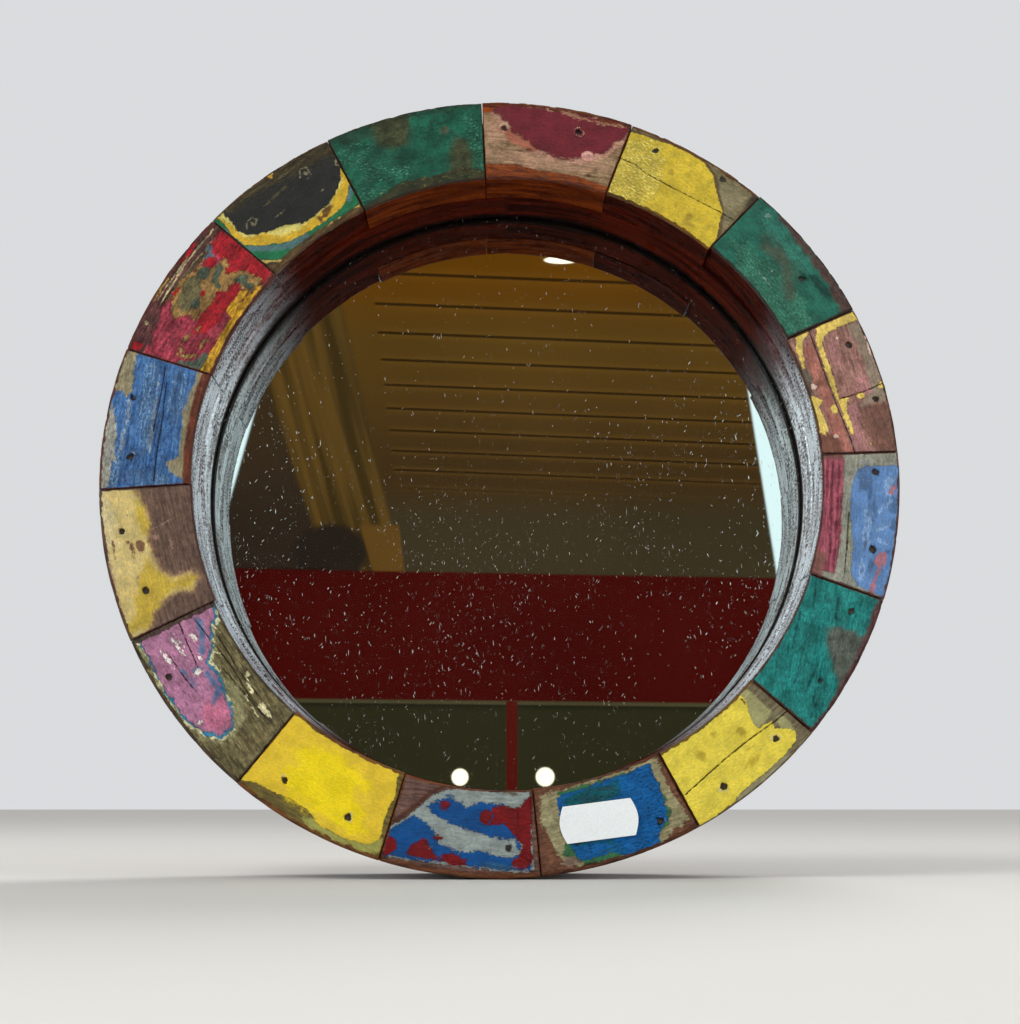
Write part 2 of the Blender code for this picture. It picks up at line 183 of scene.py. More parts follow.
class Wedge:
    """A facing block's outline, read from its CAD node. Its plane has u clockwise and v outwards."""

    def __init__(self, label):
        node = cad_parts[f"facing_block_{label}"]
        corners = np.array([vert.co for vert in node.data.vertices]) / MM
        rough_middle = math.atan2(corners[:, 0].mean(), corners[:, 2].mean())
        clock = np.arctan2(corners[:, 0], corners[:, 2]) - rough_middle
        clock = (clock + math.pi) % (2 * math.pi) - math.pi
        self.middle = rough_middle + (clock.max() + clock.min()) / 2
        self.half = (clock.max() - clock.min()) / 2
        self.rim = np.hypot(corners[:, 0], corners[:, 2]).max()
        self.bore = np.hypot(corners[:, 0] - OPENING.x / MM, corners[:, 2] - OPENING.z / MM).min()
        self.front = corners[:, 1].min()
        self.depth = corners[:, 1].max() - self.front
        self.nails = [self.flat(sum(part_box(f"nail_{label}_{letter}"), Vector()) / 2) for letter in "ab"]

    def flat(self, point):
        """A point of the shared frame, in metres, in the block's plane."""
        x, z = point.x / MM, point.z / MM
        sin, cos = math.sin(self.middle), math.cos(self.middle)
        return np.array((x * cos - z * sin, x * sin + z * cos))

    def plan(self, points):
        """Points of the block's plan, in tenths, in its plane."""
        along, outward = np.array(points, float).reshape(-1, 2).T / 10
        clock = self.half * (2 * along - 1)
        bore = bore_at(self.middle + clock, self.bore)
        radius = bore + outward * (self.rim - bore)
        return np.stack([radius * np.sin(clock), radius * np.cos(clock)], axis=1)

    def world(self, flat, depth):
        """Points of the block's plane at depths behind its face, in the shared frame, in metres."""
        sin, cos = math.sin(self.middle), math.cos(self.middle)
        x = flat[:, 0] * cos + flat[:, 1] * sin
        z = flat[:, 1] * cos - flat[:, 0] * sin
        return np.stack([x, self.front + depth, z], axis=1) * MM


def depth_inside(at, shape, wedge):
    """Distance in mm from a shape's edge to each point of the block's plane, positive inside."""
    kind, data = shape
    if kind == "area":
        return inside_area(at, wedge.plan(data))
    if kind == "spot":
        s, t, across, up = data
        centre, right, top = wedge.plan([(s, t), (s + across, t), (s, t + up)])
        radii = np.array([np.linalg.norm(right - centre), np.linalg.norm(top - centre)])
        return (1 - np.linalg.norm((at - centre) / radii, axis=1)) * radii.min()
    width, points = data
    corners = wedge.plan(points)
    return width - np.min([segment_distance(at, *pair) for pair in zip(corners, corners[1:])], axis=0)


# ---------------------------------------------------------------- the sixteen blocks

Coat = namedtuple("Coat", "tones shapes ragged soft thick streak gloss bloom broken sparse")
Block = namedtuple(
    "Block", "slot wood coats cracks nails rims rim_tone rough grooves flecks mottle tilt tint")


def coat(tones, *shapes, ragged=0.5, soft=0.12, thick=0.14, streak=0.5, gloss=0.34, bloom=0.0,
         broken=0.3, sparse=9.0):
    """One layer of paint. bloom grows it outwards, in mm, so that it edges the coat above, broken
    is how far its edge breaks up into bristle marks, and a low sparse breaks it up all over."""
    return Coat(tones, shapes, ragged, soft, thick, streak, gloss, bloom, broken, sparse)


def stain(tones, *shapes, **looks):
    """A coat too thin to stand out from the face."""
    return coat(tones, *shapes, thick=0, **looks)


def block(slot, wood, *coats, cracks=(), nails=((1.0, 0.0), (1.0, 0.0)), rims=(0.7, 1.0, 0.35, 0.35),
          rim_tone=((70, 28, 16), (38, 14, 9)), rough=0.12, grooves=0.15, flecks=0.2, mottle=0.2,
          tilt=0.0, tint=(1.0, 1.0, 1.0)):
    """nails says how open each nail's hole is and how pale the ring round it. rims are the
    varnished margins at the inner edge, outer edge, start and end, in mm. tint multiplies all."""
    return Block(slot, wood, coats, cracks, nails, rims, rim_tone, rough, grooves, flecks, mottle, tilt,
                 tint)


EVERYWHERE = area((-1, -1), (11, -1), (11, 11), (-1, 11))

maroon_field = area((0.5, 10.2), (0.7, 8.8), (1.5, 7.7), (1.9, 6.4), (2.9, 5.1), (4.2, 3.7), (5.4, 3.3),
    (6.6, 3.3), (7.6, 3.9), (8.9, 5.1), (9.4, 6.8), (9.8, 8.3), (10.4, 10.2))
ochre_field = area((-0.3, 10.4), (0.2, 7.8), (1.2, 6.8), (1.7, 5.2), (1.9, 3.4), (1.6, 1.9), (2.3, 1.1),
    (2.9, 1.5), (2.9, 3.5), (3.5, 4.4), (5, 5), (6.2, 5.3), (8, 5), (9.2, 5.7), (10.3, 7), (10.3, 10.4))
mauve_field = area((10.4, 9), (8, 8.9), (6.5, 9.1), (4.4, 9), (3.2, 8.4), (2.5, 7.4), (2.4, 6), (3.3, 4.7),
    (4.5, 4.2), (5.6, 3.6), (6.6, 3.9), (7.2, 2.6), (8.5, 1.7), (9, 0.5), (10.4, 0.2))
black_field = area((0.9, 10.6), (0.9, 8.6), (0.6, 7), (0.8, 5.6), (1.6, 4.8), (2.3, 4.3), (3.2, 3.9),
    (4, 3.1), (4.9, 2.5), (6.8, 2.5), (7.8, 2.9), (8.8, 3.8), (9.5, 4.9), (9.9, 6), (10.5, 7.2),
    (10.5, 10.6))
blue_field = area((1, 0.7), (1.05, 4), (1.5, 7.6), (2.1, 8), (2.6, 9.5), (4.6, 9.8), (5.4, 8.9), (7.6, 8.9),
    (8.1, 6), (8.3, 3), (8.3, 1.4), (7, 1), (3, 0.6))
sky_field = area((0.9, 10.4), (0.95, 7), (1.2, 4.7), (2, 3.9), (3.5, 3.6), (5, 3.8), (7, 4.6), (9, 5),
    (9.7, 6.3), (9.9, 10.4))

BLOCKS = {
    "01": block(
        "facing_maroon", ((158, 140, 110), (116, 96, 70)),
        coat(((178, 150, 128), (146, 120, 98)), spot(5, 2.6, 5, 1.2), spot(0.9, 6.4, 0.9, 1.8), ragged=1.6,
             soft=1, thick=0.03, streak=0.9, broken=0.7),
        stain(((140, 72, 20), (92, 38, 8)), area((-1, -1), (11, -1), (11, 1), (7, 1.25), (4.2, 1.25),
              (2.4, 1.8), (-1, 2.1)), soft=0.35, streak=0.9, gloss=0.22),
        coat(((206, 170, 154), (178, 134, 118)), maroon_field, ragged=1.6, soft=0.6, thick=0.05, bloom=1.9,
             broken=1.1, sparse=0.45),
        stain(((172, 110, 92), (150, 84, 66)), area((1.2, 6.4), (2, 6.6), (4.2, 4.2), (3.6, 3.6), (2, 4.8)),
              ragged=1, soft=0.6, broken=0.9, sparse=0.4),
        coat(((118, 38, 52), (98, 28, 42)), maroon_field, ragged=1.2, soft=0.55, streak=0.3, broken=1.5),
        stain(((168, 84, 24), (128, 50, 12)), area((-1, 8.6), (0.5, 8.6), (0.9, 9.3), (1.1, 11), (-1, 11)),
              soft=0.5, gloss=0.25),
        stain(((192, 160, 130), (160, 116, 92)), line(0.45, (5.4, 9.2), (7.6, 8.8), (9.6, 9.3)),
              spot(8.4, 9, 1, 0.2), ragged=0.7, soft=0.4, broken=0.7, sparse=0.05),
        coat(((212, 170, 168), (198, 150, 146)), spot(7.75, 4.1, 0.5, 0.72), ragged=0.3),
        stain(((96, 66, 34), (66, 40, 20)), spot(8.2, 1.7, 0.25, 0.25), spot(2.7, 3.6, 0.3, 0.08),
              spot(3.2, 3.9, 0.2, 0.08), spot(4.9, 0.5, 0.12, 0.1), ragged=0.4, soft=0.3),
        nails=((1, 0.7), (1, 0.7)), rims=(0.9, 1.3, 0.25, 0.4), rim_tone=((112, 48, 14), (62, 22, 8)),
        rough=0.14, grooves=0.12, flecks=0.1, mottle=0.2, tint=(1, 0.86, 0.75)),
    "02": block(
        "facing_yellow", ((128, 120, 86), (104, 96, 66)),
        coat(((134, 128, 96), (120, 112, 80)), spot(8.4, 7.4, 0.9, 1.6), ragged=1.2, soft=1.2, thick=0.02),
        coat(((100, 86, 54), (76, 62, 38)), area((-1, -1), (-1, 9.3), (0.8, 9.4), (3.5, 9.9), (5.6, 9.7),
             (6.9, 8.7), (7.7, 7.1), (8.5, 5.9), (9.05, 5), (9.6, 3.4), (10.6, 0.9), (10.6, -1)), soft=0.4,
             ragged=0.3, thick=0.03, broken=0.15),
        coat(((204, 184, 56), (186, 162, 42)), area((-1, -1), (-1, 9.1), (0.8, 9.1), (3.5, 9.6), (5.5, 9.4),
             (6.6, 8.5), (7.4, 7), (8.3, 5.8), (8.8, 5.1), (9.3, 3.4), (10.2, 0.9), (10.2, -1)), ragged=0.25,
             gloss=0.22, streak=0.3, broken=0.15),
        # Painted glints: the two bright coats below stand in for highlights caught by the glossy paint.
        coat(((240, 228, 120), (222, 204, 86)), spot(1.4, 3.6, 2.3, 5.2), ragged=1.6, soft=0.3, thick=0.12,
             gloss=0.14, broken=1, sparse=0),
        coat(((255, 252, 196), (246, 238, 150)), spot(1, 3.4, 1.9, 4.4), ragged=1.6, soft=0.2, thick=0.1,
             gloss=0.12, broken=1, sparse=-0.35),
        stain(((168, 146, 40), (150, 128, 36)), spot(3.9, 6, 0.2, 0.4), spot(7, 2, 0.25, 0.7),
              spot(5.6, 2.4, 0.2, 0.3), spot(7.4, 1.2, 0.4, 0.2), ragged=0.8, soft=0.6),
        stain(((72, 64, 46), (50, 42, 30)), area((9.5, 11), (9.6, 9.2), (9.9, 6), (11, 5), (11, 11)),
              soft=0.8),
        cracks=(((-0.2, 5.2), (1.4, 5), (2.2, 4.5), (4.5, 4.3), (6, 4.4), (8.8, 5), (10.2, 5.3)),),
        nails=((1, 0.2), (0.8, 0)), rims=(1, 0.9, 0.4, 0.4), rim_tone=((108, 66, 26), (62, 32, 12)),
        rough=0.16, grooves=0.06, flecks=0.1, mottle=0.18, tint=(1.16, 1.1, 1.14)),
    "03": block(
        "facing_green", ((34, 108, 90), (18, 78, 66)),
        coat(((42, 112, 92), (26, 84, 70)), EVERYWHERE, streak=0.3),
        coat(((96, 146, 118), (54, 112, 88)), spot(6.2, 1.8, 4.4, 2.6), ragged=2, soft=0.5, thick=0.04,
             broken=0.9, sparse=-0.12),
        coat(((66, 128, 112), (44, 106, 92)), spot(3, 7.8, 3, 1.4), ragged=2, soft=1.2, thick=0.02,
             broken=0.7, sparse=0),
        stain(((80, 78, 62), (70, 70, 56)), spot(4.2, 5.8, 1.5, 0.8), line(1.6, (3, 5.4), (4.6, 5.9),
              (6.2, 4.2), (7, 3.4)), ragged=1.2, soft=2.2, broken=0.4, sparse=0.9),
        stain(((94, 66, 60), (78, 50, 46)), area((1, 10.6), (2.2, 9.3), (5, 8.9), (7.6, 8.6), (10.3, 8.3),
              (10.3, 10.6)), ragged=1, soft=0.8, streak=0.8, broken=0.8),
        stain(((22, 74, 62), (18, 62, 54)), spot(7.4, 7.6, 1, 0.5), spot(6.3, 6.7, 0.3, 0.3), ragged=0.9,
              soft=0.4, broken=0.8),
        coat(((176, 196, 176), (120, 160, 140)), spot(1.3, 8.6, 0.2, 0.4), spot(4.7, 3.5, 0.12, 0.12),
             spot(5.1, 2.1, 0.5, 0.12), ragged=0.4, soft=0.2, broken=0.6, sparse=0.1),
        nails=((0.35, 0), (0.6, 0)), rims=(0.7, 0.5, 0.4, 0.7), rim_tone=((62, 34, 26), (34, 22, 18)),
        rough=0.14, grooves=0.1, flecks=0.12, mottle=0.3, tint=(0.82, 0.92, 0.9)),
    "04": block(
        "facing_pink_brown", ((156, 118, 108), (124, 88, 78)),
        coat(((146, 134, 116), (116, 104, 88)), area((0.8, 10.4), (0.9, 8.4), (3.5, 8.5), (5, 8.2),
             (5.6, 7.4), (6.6, 6.4), (6.5, 9), (6.4, 10.4)), ragged=1.2, soft=1, thick=0.04, broken=0.8),
        coat(((120, 86, 72), (100, 68, 58)), area((6.6, 10.4), (6.6, 8.2), (6.8, 6), (8.2, 5.9), (9.8, 7),
             (10.4, 10.4)), ragged=1, soft=1, thick=0.05, streak=0.8, broken=0.6),
        coat(((178, 130, 130), (152, 104, 102)), area((6.4, 5.6), (8.6, 5.4), (10.2, 6.8), (10.3, 4.4),
             (8.4, 4.2), (6.6, 4.6)), spot(5.2, 7.2, 0.7, 1.2), spot(2.4, 5.2, 1, 0.6), ragged=1.4, soft=0.8,
             thick=0.02, broken=0.8, sparse=0.3),
        coat(((168, 112, 98), (140, 88, 76)), area((0.6, 3.1), (3.5, 2.8), (5.5, 2.8), (9.9, 4.2),
             (9.9, 1.8), (8.2, 1.8), (6.4, 1.6), (4.2, 1.4), (1.4, 1.4)), ragged=0.8, soft=0.6, thick=0.05,
             streak=0.8, broken=0.7),
        coat(((124, 82, 66), (100, 64, 52)), area((8.3, 0), (8.4, 1.8), (9.2, 2.9), (10.3, 2.6), (10.3, 0)),
             spot(4.3, 1.9, 0.3, 0.5), ragged=0.8, soft=0.8, thick=0.02, broken=0.7),
        stain(((102, 96, 80), (80, 72, 60)), area((2.9, 1.1), (3.8, 1.2), (4.4, 0.6), (5.2, 0.4), (5, -0.4),
              (2.8, -0.2)), ragged=0.5, soft=0.5),
        coat(((218, 200, 116), (202, 176, 72)), area((-0.4, 10.4), (-0.4, 4.8), (0.3, 4.3), (1, 3.6),
             (2.6, 3.2), (4.4, 3.2), (6, 3.3), (5.9, 3.75), (3.4, 3.9), (1.4, 4.1), (0.8, 4.9), (0.7, 7),
             (0.75, 9), (0.8, 10.4)), area((5.85, 3.5), (5.7, 5.2), (6.2, 4.5), (7, 4.3), (8.5, 4.7),
             (8.7, 4.3), (7.4, 3.8)), spot(5.85, 6.6, 0.22, 0.5), spot(5.45, 9.7, 0.25, 0.5),
             spot(9.4, 6.6, 0.2, 0.12), area((-0.3, 3.3), (0.2, 3.2), (0.7, 1.9), (1.7, 1.1), (2.9, 0.9),
             (2.8, 0.4), (1, 0.8), (-0.3, 2)), area((5.1, 0.4), (5.7, 1.5), (6.2, 0.9), (7.2, 1.3), (8, 1.5),
             (8.5, 0.8), (8.2, 0.1), (5.6, -0.1)), spot(6.55, 2.75, 0.38, 0.5), ragged=0.45, thick=0.16,
             broken=0.6),
        coat(((226, 206, 190), (206, 172, 158)), spot(4.45, 0.95, 0.25, 0.35), spot(8.05, 6.1, 0.08, 0.2),
             spot(1.4, 6.3, 0.18, 0.12), spot(8.65, 2.2, 0.15, 0.3), spot(2.4, 9.7, 1.4, 0.1), ragged=0.3,
             broken=0.5),
        cracks=(((-0.2, 3.5), (1.5, 3.15), (3.5, 2.95), (5, 3), (7, 3.4), (9, 4.1), (10.2, 4.5)),
        ((5.3, 10.1), (5.6, 7.4), (5.75, 5), (5.8, 4))), nails=((1, 0), (1, 0)), rims=(0.7, 0.5, 0.5, 0.5),
        rim_tone=((84, 48, 30), (48, 26, 18)), rough=0.13, grooves=0.15, flecks=0.2, mottle=0.24,
        tint=(1.14, 1.06, 1.04)),
    "05": block(
        "facing_blue", ((156, 156, 142), (138, 136, 122)),
        coat(((176, 92, 106), (128, 56, 70)), area((0.3, 2.9), (3, 2.6), (6, 2.7), (9.4, 3.2), (9.5, -1),
             (-0.4, -1)), ragged=0.5, streak=1, soft=0.35, broken=0.5),
        coat(((128, 46, 66), (96, 32, 48)), line(0.3, (1, 2.2), (5, 2), (9, 2.8)), line(0.25, (0.6, 1.4),
             (4, 1.2), (8, 1.9)), line(0.22, (1.2, 0.6), (5, 0.5)), line(0.2, (3.2, 2.45), (8.8, 2.6)),
             ragged=0.5, soft=0.3, thick=-0.06, streak=1, broken=0.7),
        stain(((136, 88, 80), (112, 70, 64)), area((8.2, 1.4), (10.4, 1.6), (10.4, -1), (7.6, -1)),
              area((-0.6, 3), (0.4, 2.8), (0.5, -0.5), (-0.6, -0.5)), ragged=0.8, soft=0.8),
        coat(((112, 150, 200), (76, 116, 168)), sky_field, ragged=0.4, streak=0.3, broken=0.25),
        coat(((148, 178, 214), (128, 160, 204)), line(0.5, (3.4, 8.8), (4.2, 7.4)), line(0.4, (5, 9.2),
             (5.6, 7.2)), spot(5.4, 6, 1.4, 0.5), spot(2.2, 8.6, 0.7, 0.5), line(0.4, (6.4, 8.8),
             (6.2, 7.4)), spot(8.6, 6.2, 0.6, 0.4), ragged=0.9, soft=0.5, thick=0.03, broken=0.8,
             sparse=0.2),
        stain(((74, 104, 142), (56, 84, 124)), spot(4.3, 6.6, 0.6, 0.7), spot(1.8, 5.5, 1, 0.9),
              spot(3.6, 9.3, 0.6, 0.4), spot(5, 9.4, 0.4, 0.5), line(0.35, (6.6, 9.6), (7, 8.8)),
              spot(8.2, 7.2, 0.5, 0.3), line(0.4, (1.2, 6.4), (4, 6), (8.6, 6.4)), ragged=1, soft=0.5,
              broken=1, sparse=0.15),
        coat(((168, 160, 158), (142, 140, 146)), spot(2, 5.3, 0.8, 0.9), ragged=0.8, soft=0.2, thick=-0.05,
             broken=1, sparse=-0.4),
        coat(((192, 122, 124), (166, 94, 102)), line(0.9, (2.2, 9.6), (2.8, 8.7)), spot(7.5, 8.4, 0.5, 0.8),
             line(0.4, (8.1, 8.3), (9.9, 8.2)), ragged=0.9, soft=0.25, thick=0.02, broken=0.9, sparse=0.2),
        coat(((176, 178, 140), (150, 154, 118)), line(0.22, (5.2, 3.8), (7.2, 4.1), (9, 4.8)), line(0.16,
             (0.95, 4.6), (0.8, 7)), ragged=0.3, soft=0.2, broken=0.6),
        cracks=(((4.6, 3.5), (7, 3.8), (9, 4.25)),), nails=((1, 0), (1, 0)), rims=(0.6, 0.6, 0.5, 0.7),
        rim_tone=((92, 52, 44), (56, 32, 28)), rough=0.16, grooves=0.12, flecks=0.1, mottle=0.2),
    "06": block(
        "facing_green", ((36, 120, 104), (20, 92, 80)),
        coat(((38, 126, 110), (22, 98, 86)), EVERYWHERE, streak=0.6),
        # Painted highlights: the two pale coats below stand in for the light caught at the block's right end.
        coat(((70, 172, 152), (44, 146, 128)), spot(9.2, 7, 1.4, 3.4), spot(9.8, 3.4, 0.5, 2.6),
             spot(6.6, 8, 1.6, 1.6), ragged=1.2, soft=0.4, thick=0.1, gloss=0.16, broken=0.9, sparse=-0.4),
        coat(((150, 214, 200), (96, 184, 168)), spot(9.5, 8, 0.7, 1.8), ragged=1, soft=0.2, thick=0.1,
             gloss=0.14, broken=0.9, sparse=-0.7),
        stain(((92, 88, 72), (78, 78, 64)), area((2.7, 10.4), (2.8, 7), (3, 5.2), (3.5, 4.6), (4.4, 5.2),
              (5.2, 6.6), (6.2, 8.4), (7, 10.4)), ragged=0.9, soft=1.2, broken=0.5),
        stain(((104, 66, 58), (80, 50, 46)), area((-1, 9.3), (2.5, 9.2), (6, 9.5), (10.4, 9.8), (10.4, 11),
              (-1, 11)), ragged=0.8, soft=0.6, broken=0.6),
        coat(((16, 72, 64), (12, 60, 54)), line(0.2, (0.4, 1), (2.6, 2)), line(0.2, (3.2, 0.6), (6, 1.8)),
             line(0.2, (5.2, 3), (8.2, 4.4)), line(0.18, (6, 5.6), (9.2, 6.6)), line(0.18, (1, 4.4),
             (2.4, 5)), line(0.18, (7.6, 7.8), (9.4, 8.6)), ragged=0.5, soft=0.3, thick=-0.08, broken=0.7),
        nails=((0.9, 0), (0.5, 0)), rims=(0.7, 0.6, 0.4, 0.6), rim_tone=((96, 52, 42), (58, 32, 26)),
        rough=0.42, grooves=0.3, flecks=0.15, mottle=0.32, tilt=18, tint=(1.1, 1.34, 1.6)),
    "07": block(
        "facing_yellow", ((116, 106, 86), (86, 76, 60)),
        coat(((152, 148, 108), (136, 132, 96)), area((0.8, -0.6), (0.8, 4.6), (2.4, 4.8), (2.9, 3.8),
             (2.2, 2), (1.8, -0.6)), spot(0.9, 7, 0.4, 1.6), ragged=0.4, soft=0.6, thick=0.04),
        coat(((140, 134, 112), (112, 104, 84)), area((2, 9.2), (2.2, 10.2), (7, 10.2), (6.8, 9.4)),
             ragged=0.6, soft=0.8, thick=0.02, streak=0.9),
        coat(((216, 198, 76), (202, 180, 62)), area((1.5, -1), (1.55, 1.4), (2.2, 2.6), (2.5, 4), (2.4, 4.8),
             (1.9, 4.9), (1.3, 5.3), (1.6, 6.2), (0.95, 7.2), (0.7, 8.2), (1.1, 9), (2.2, 9.3), (6.4, 9.3),
             (7.2, 9.7), (11, 10.3), (11, -1)), ragged=0.3, gloss=0.28, streak=0.2, broken=0.2),
        coat(((244, 234, 150), (226, 212, 104)), spot(1.2, 8.2, 0.4, 0.8), spot(3.6, 5.6, 2.4, 1.2),
             spot(4.2, 8.4, 0.3, 0.3), spot(5.2, 4, 0.8, 0.8), ragged=1, soft=0.25, thick=0.06, broken=1,
             sparse=-0.5),
        stain(((178, 154, 44), (162, 138, 40)), spot(4.4, 7.2, 0.5, 0.3), spot(3.6, 3.6, 0.2, 0.6),
              spot(7.2, 2.8, 0.3, 0.8), spot(5.4, 1.6, 0.2, 0.3), line(0.2, (3.4, 6), (4.2, 5.6)),
              ragged=0.8, soft=0.6),
        stain(((112, 78, 40), (84, 58, 32)), spot(1.8, 1.2, 0.12, 0.5), ragged=0.3, soft=0.2),
        cracks=(((0, 5.9), (1.2, 5.6), (2.5, 5.2), (4, 4.9), (6, 4.9), (8, 5.3), (10.2, 6)),),
        nails=((0.9, 0.5), (0.9, 0.6)), rims=(0.9, 0.3, 0.5, 0.25), rim_tone=((104, 62, 24), (58, 32, 14)),
        rough=0.1, grooves=0.08, flecks=0.12, mottle=0.14, tint=(1.25, 1.25, 1.05)),
    "08": block(
        "facing_blue", ((122, 80, 58), (98, 60, 42)),
        coat(((164, 156, 116), (136, 126, 92)), blue_field, area((0.3, 0.5), (0.5, 5), (0.3, 8.6), (1.6, 9),
             (2.4, 9.9), (4.6, 10), (7.6, 9.4), (8.7, 8.6), (9.2, 6), (9.7, 3.6), (9.6, 0.9), (6, 0.3)),
             ragged=1, soft=0.3, thick=0.05, streak=0.9, broken=1),
        coat(((62, 122, 74), (34, 98, 66)), area((1.1, 0.9), (1.1, 4), (1.1, 6.8), (1.6, 7.9), (2.4, 8.8),
             (4.6, 9.8), (6.4, 9.6), (7.7, 9), (8.4, 8), (8.2, 6.4), (8.1, 0.9)), ragged=1.2, soft=0.3,
             broken=1, sparse=0.4),
        coat(((0, 96, 160), (0, 82, 146)), blue_field, ragged=0.7, streak=0.3, gloss=0.3, broken=0.7),
        stain(((0, 92, 104), (0, 76, 84)), area((4.8, 9.2), (5.2, 7.6), (7.8, 7.2), (7.9, 1.6), (6.6, 1.1),
              (3.6, 1.2), (4, 2.8), (6.6, 4), (6, 7)), ragged=1.4, soft=1.2, streak=0.9, broken=0.9),
        stain(((30, 74, 86), (24, 60, 66)), line(0.25, (4.2, 1.8), (5.6, 1.4), (6.8, 2)), line(0.2,
              (5.6, 8.4), (7.4, 8.8)), spot(5.6, 2.4, 0.9, 0.3), ragged=0.8, soft=0.5, broken=1, sparse=0.1),
        stain(((150, 124, 104), (124, 100, 84)), spot(8.1, 8.8, 0.5, 0.4), ragged=0.8, soft=0.4, broken=0.9),
        nails=((1, 0.5), (0.4, 0)), rims=(0.8, 0.9, 0.6, 0.5), rim_tone=((98, 52, 26), (56, 28, 14)),
        rough=0.14, grooves=0.15, flecks=0.08, mottle=0.2),
    "09": block(
        "facing_blue", ((146, 104, 90), (110, 74, 62)),
        stain(((110, 60, 40), (72, 36, 26)), line(0.8, (6.5, -0.2), (7.8, 1.4), (8.7, 3.2), (9.5, 4.9),
              (10.3, 5.8)), soft=0.6, streak=0.8, broken=0.5),
        coat(((196, 198, 188), (160, 162, 154)), area((0.2, 0.2), (0.4, 9.2), (1, 9.6), (10.4, 9.6),
             (10.4, 6.6), (9.3, 5), (8.5, 3.4), (7.6, 1.6), (6.5, 0.4), (3, 0.2)), ragged=0.5, broken=0.5),
        coat(((0, 94, 164), (0, 78, 146)), area((0.5, 9.5), (0.6, 8), (1.2, 7.2), (2, 7.7), (4, 7),
             (5.2, 7.3), (6.5, 6.6), (6.9, 5.6), (7.6, 4.6), (8.6, 4.2), (9.4, 5.6), (10.4, 7.2),
             (10.4, 9.5)), area((1.2, 7), (1.5, 5.6), (3, 5.4), (4.6, 4.7), (6, 4.1), (7.3, 3.5),
             (7.85, 2.8), (7.2, 1.9), (6.2, 1.5), (5.4, 1.7), (5.2, 2.2), (3.8, 1.6), (2.3, 1.6),
             (1.2, 2.5)), ragged=0.7, gloss=0.3, broken=1.4),
        coat(((158, 8, 12), (126, 0, 4)), area((0, 0.3), (0.3, 4), (0.5, 8.6), (1, 9), (1.8, 8.9), (1.7, 8),
             (1.2, 7.4), (1.1, 6.2), (1.7, 4.8), (2.3, 3.8), (3.3, 3.9), (3, 3), (3, 1.9), (1, 1.9)),
             spot(3.5, 3, 0.45, 0.8), area((6.4, 8.4), (7.4, 8.7), (8.4, 8.4), (8.3, 7.4), (7.6, 6.4),
             (7.2, 6.8), (6.8, 7.6)), spot(5.5, 8.2, 0.85, 0.6), spot(9.8, 8.1, 0.6, 0.95),
             spot(6.5, 2.3, 0.36, 0.45), spot(6.55, 6, 0.25, 0.16), ragged=0.6, gloss=0.3, broken=1.2),
        stain(((60, 110, 150), (46, 92, 132)), spot(6.35, 1.15, 0.3, 0.12), spot(2.6, 8.6, 0.9, 0.3),
              ragged=0.4, soft=0.4, broken=0.8, sparse=0.3),
        stain(((168, 156, 140), (140, 124, 108)), line(0.22, (0.3, 10), (0.9, 9), (1.3, 9.7)), ragged=0.2,
              soft=0.2),
        stain(((120, 104, 88), (96, 80, 66)), spot(1.4, 0.4, 0.6, 0.2), ragged=0.4, soft=0.4, broken=0.7),
        nails=((0.7, 0.3), (0.4, 0.3)), rims=(0.7, 1.2, 0.4, 0.7), rim_tone=((118, 66, 32), (68, 36, 18)),
        rough=0.13, grooves=0.14, flecks=0.08, mottle=0.18, tint=(0.64, 0.72, 0.76)),
    "10": block(
        "facing_yellow", ((116, 104, 82), (84, 74, 58)),
        coat(((168, 170, 138), (132, 130, 102)), area((-0.5, 7.6), (0.4, 9.8), (4.6, 9.9), (5.4, 9),
             (4.6, 8.2), (3, 8.4)), ragged=0.6, soft=0.6, thick=0.03, broken=0.5),
        coat(((226, 198, 84), (212, 182, 68)), area((0.2, -1), (0.5, 1), (0.2, 2.6), (0.4, 5), (0.3, 7.8),
             (0.9, 8.7), (2, 9), (4.2, 8.9), (5.2, 8.1), (6.5, 7.9), (7.6, 8.2), (9.2, 8.7), (10.1, 9.5),
             (10.15, 0.6), (9.6, 0.3), (9.2, 0.1), (8.2, 0.5), (5, 0.3), (3, -0.2)), ragged=0.4, gloss=0.28,
             streak=0.2, broken=0.2),
        stain(((240, 218, 16), (228, 204, 22)), area((1.4, 7.6), (2.6, 8.4), (4.6, 7.8), (6.8, 7.6),
              (8, 6.4), (7.6, 4.6), (8.2, 3.4), (7.4, 1.8), (5.8, 1.4), (3.4, 1.6), (2.2, 2.6), (3.4, 4.2),
              (2, 5.4)), ragged=2.4, soft=2, gloss=0.26, streak=0.1, broken=0.4),
        coat(((200, 168, 30), (170, 138, 24)), spot(6.6, 7.3, 1.6, 0.55), spot(8.2, 6.8, 0.4, 0.2), line(0.2,
             (3.4, 2), (6.2, 1.3)), ragged=0.7, soft=0.25, thick=-0.04, broken=1, sparse=-0.3),
        nails=((0.9, 0.9), (0.9, 0.6)), rims=(0.9, 0.9, 0.4, 0.35), rim_tone=((124, 72, 22), (70, 38, 14)),
        rough=0.08, grooves=0.05, flecks=0.06, mottle=0.1, tint=(1.14, 1.08, 0.4)),
    "11": block(
        "facing_mauve", ((120, 108, 80), (78, 66, 46)),
        stain(((150, 142, 112), (118, 110, 84)), mauve_field, area((2.4, 5), (3.4, 4.9), (4.6, 3.6),
              (4.4, 3.2), (3.4, 3.6)), ragged=2, soft=1.2, bloom=2.4, streak=0.8),
        coat(((222, 214, 192), (190, 180, 150)), mauve_field, ragged=1.5, soft=0.2, thick=0.05, bloom=1.1,
             broken=0.9),
        coat(((66, 132, 172), (44, 104, 150)), mauve_field, ragged=0.9, bloom=0.75, broken=0.4),
        coat(((172, 116, 156), (152, 96, 136)), mauve_field, ragged=0.8, streak=0.5, thick=0.2),
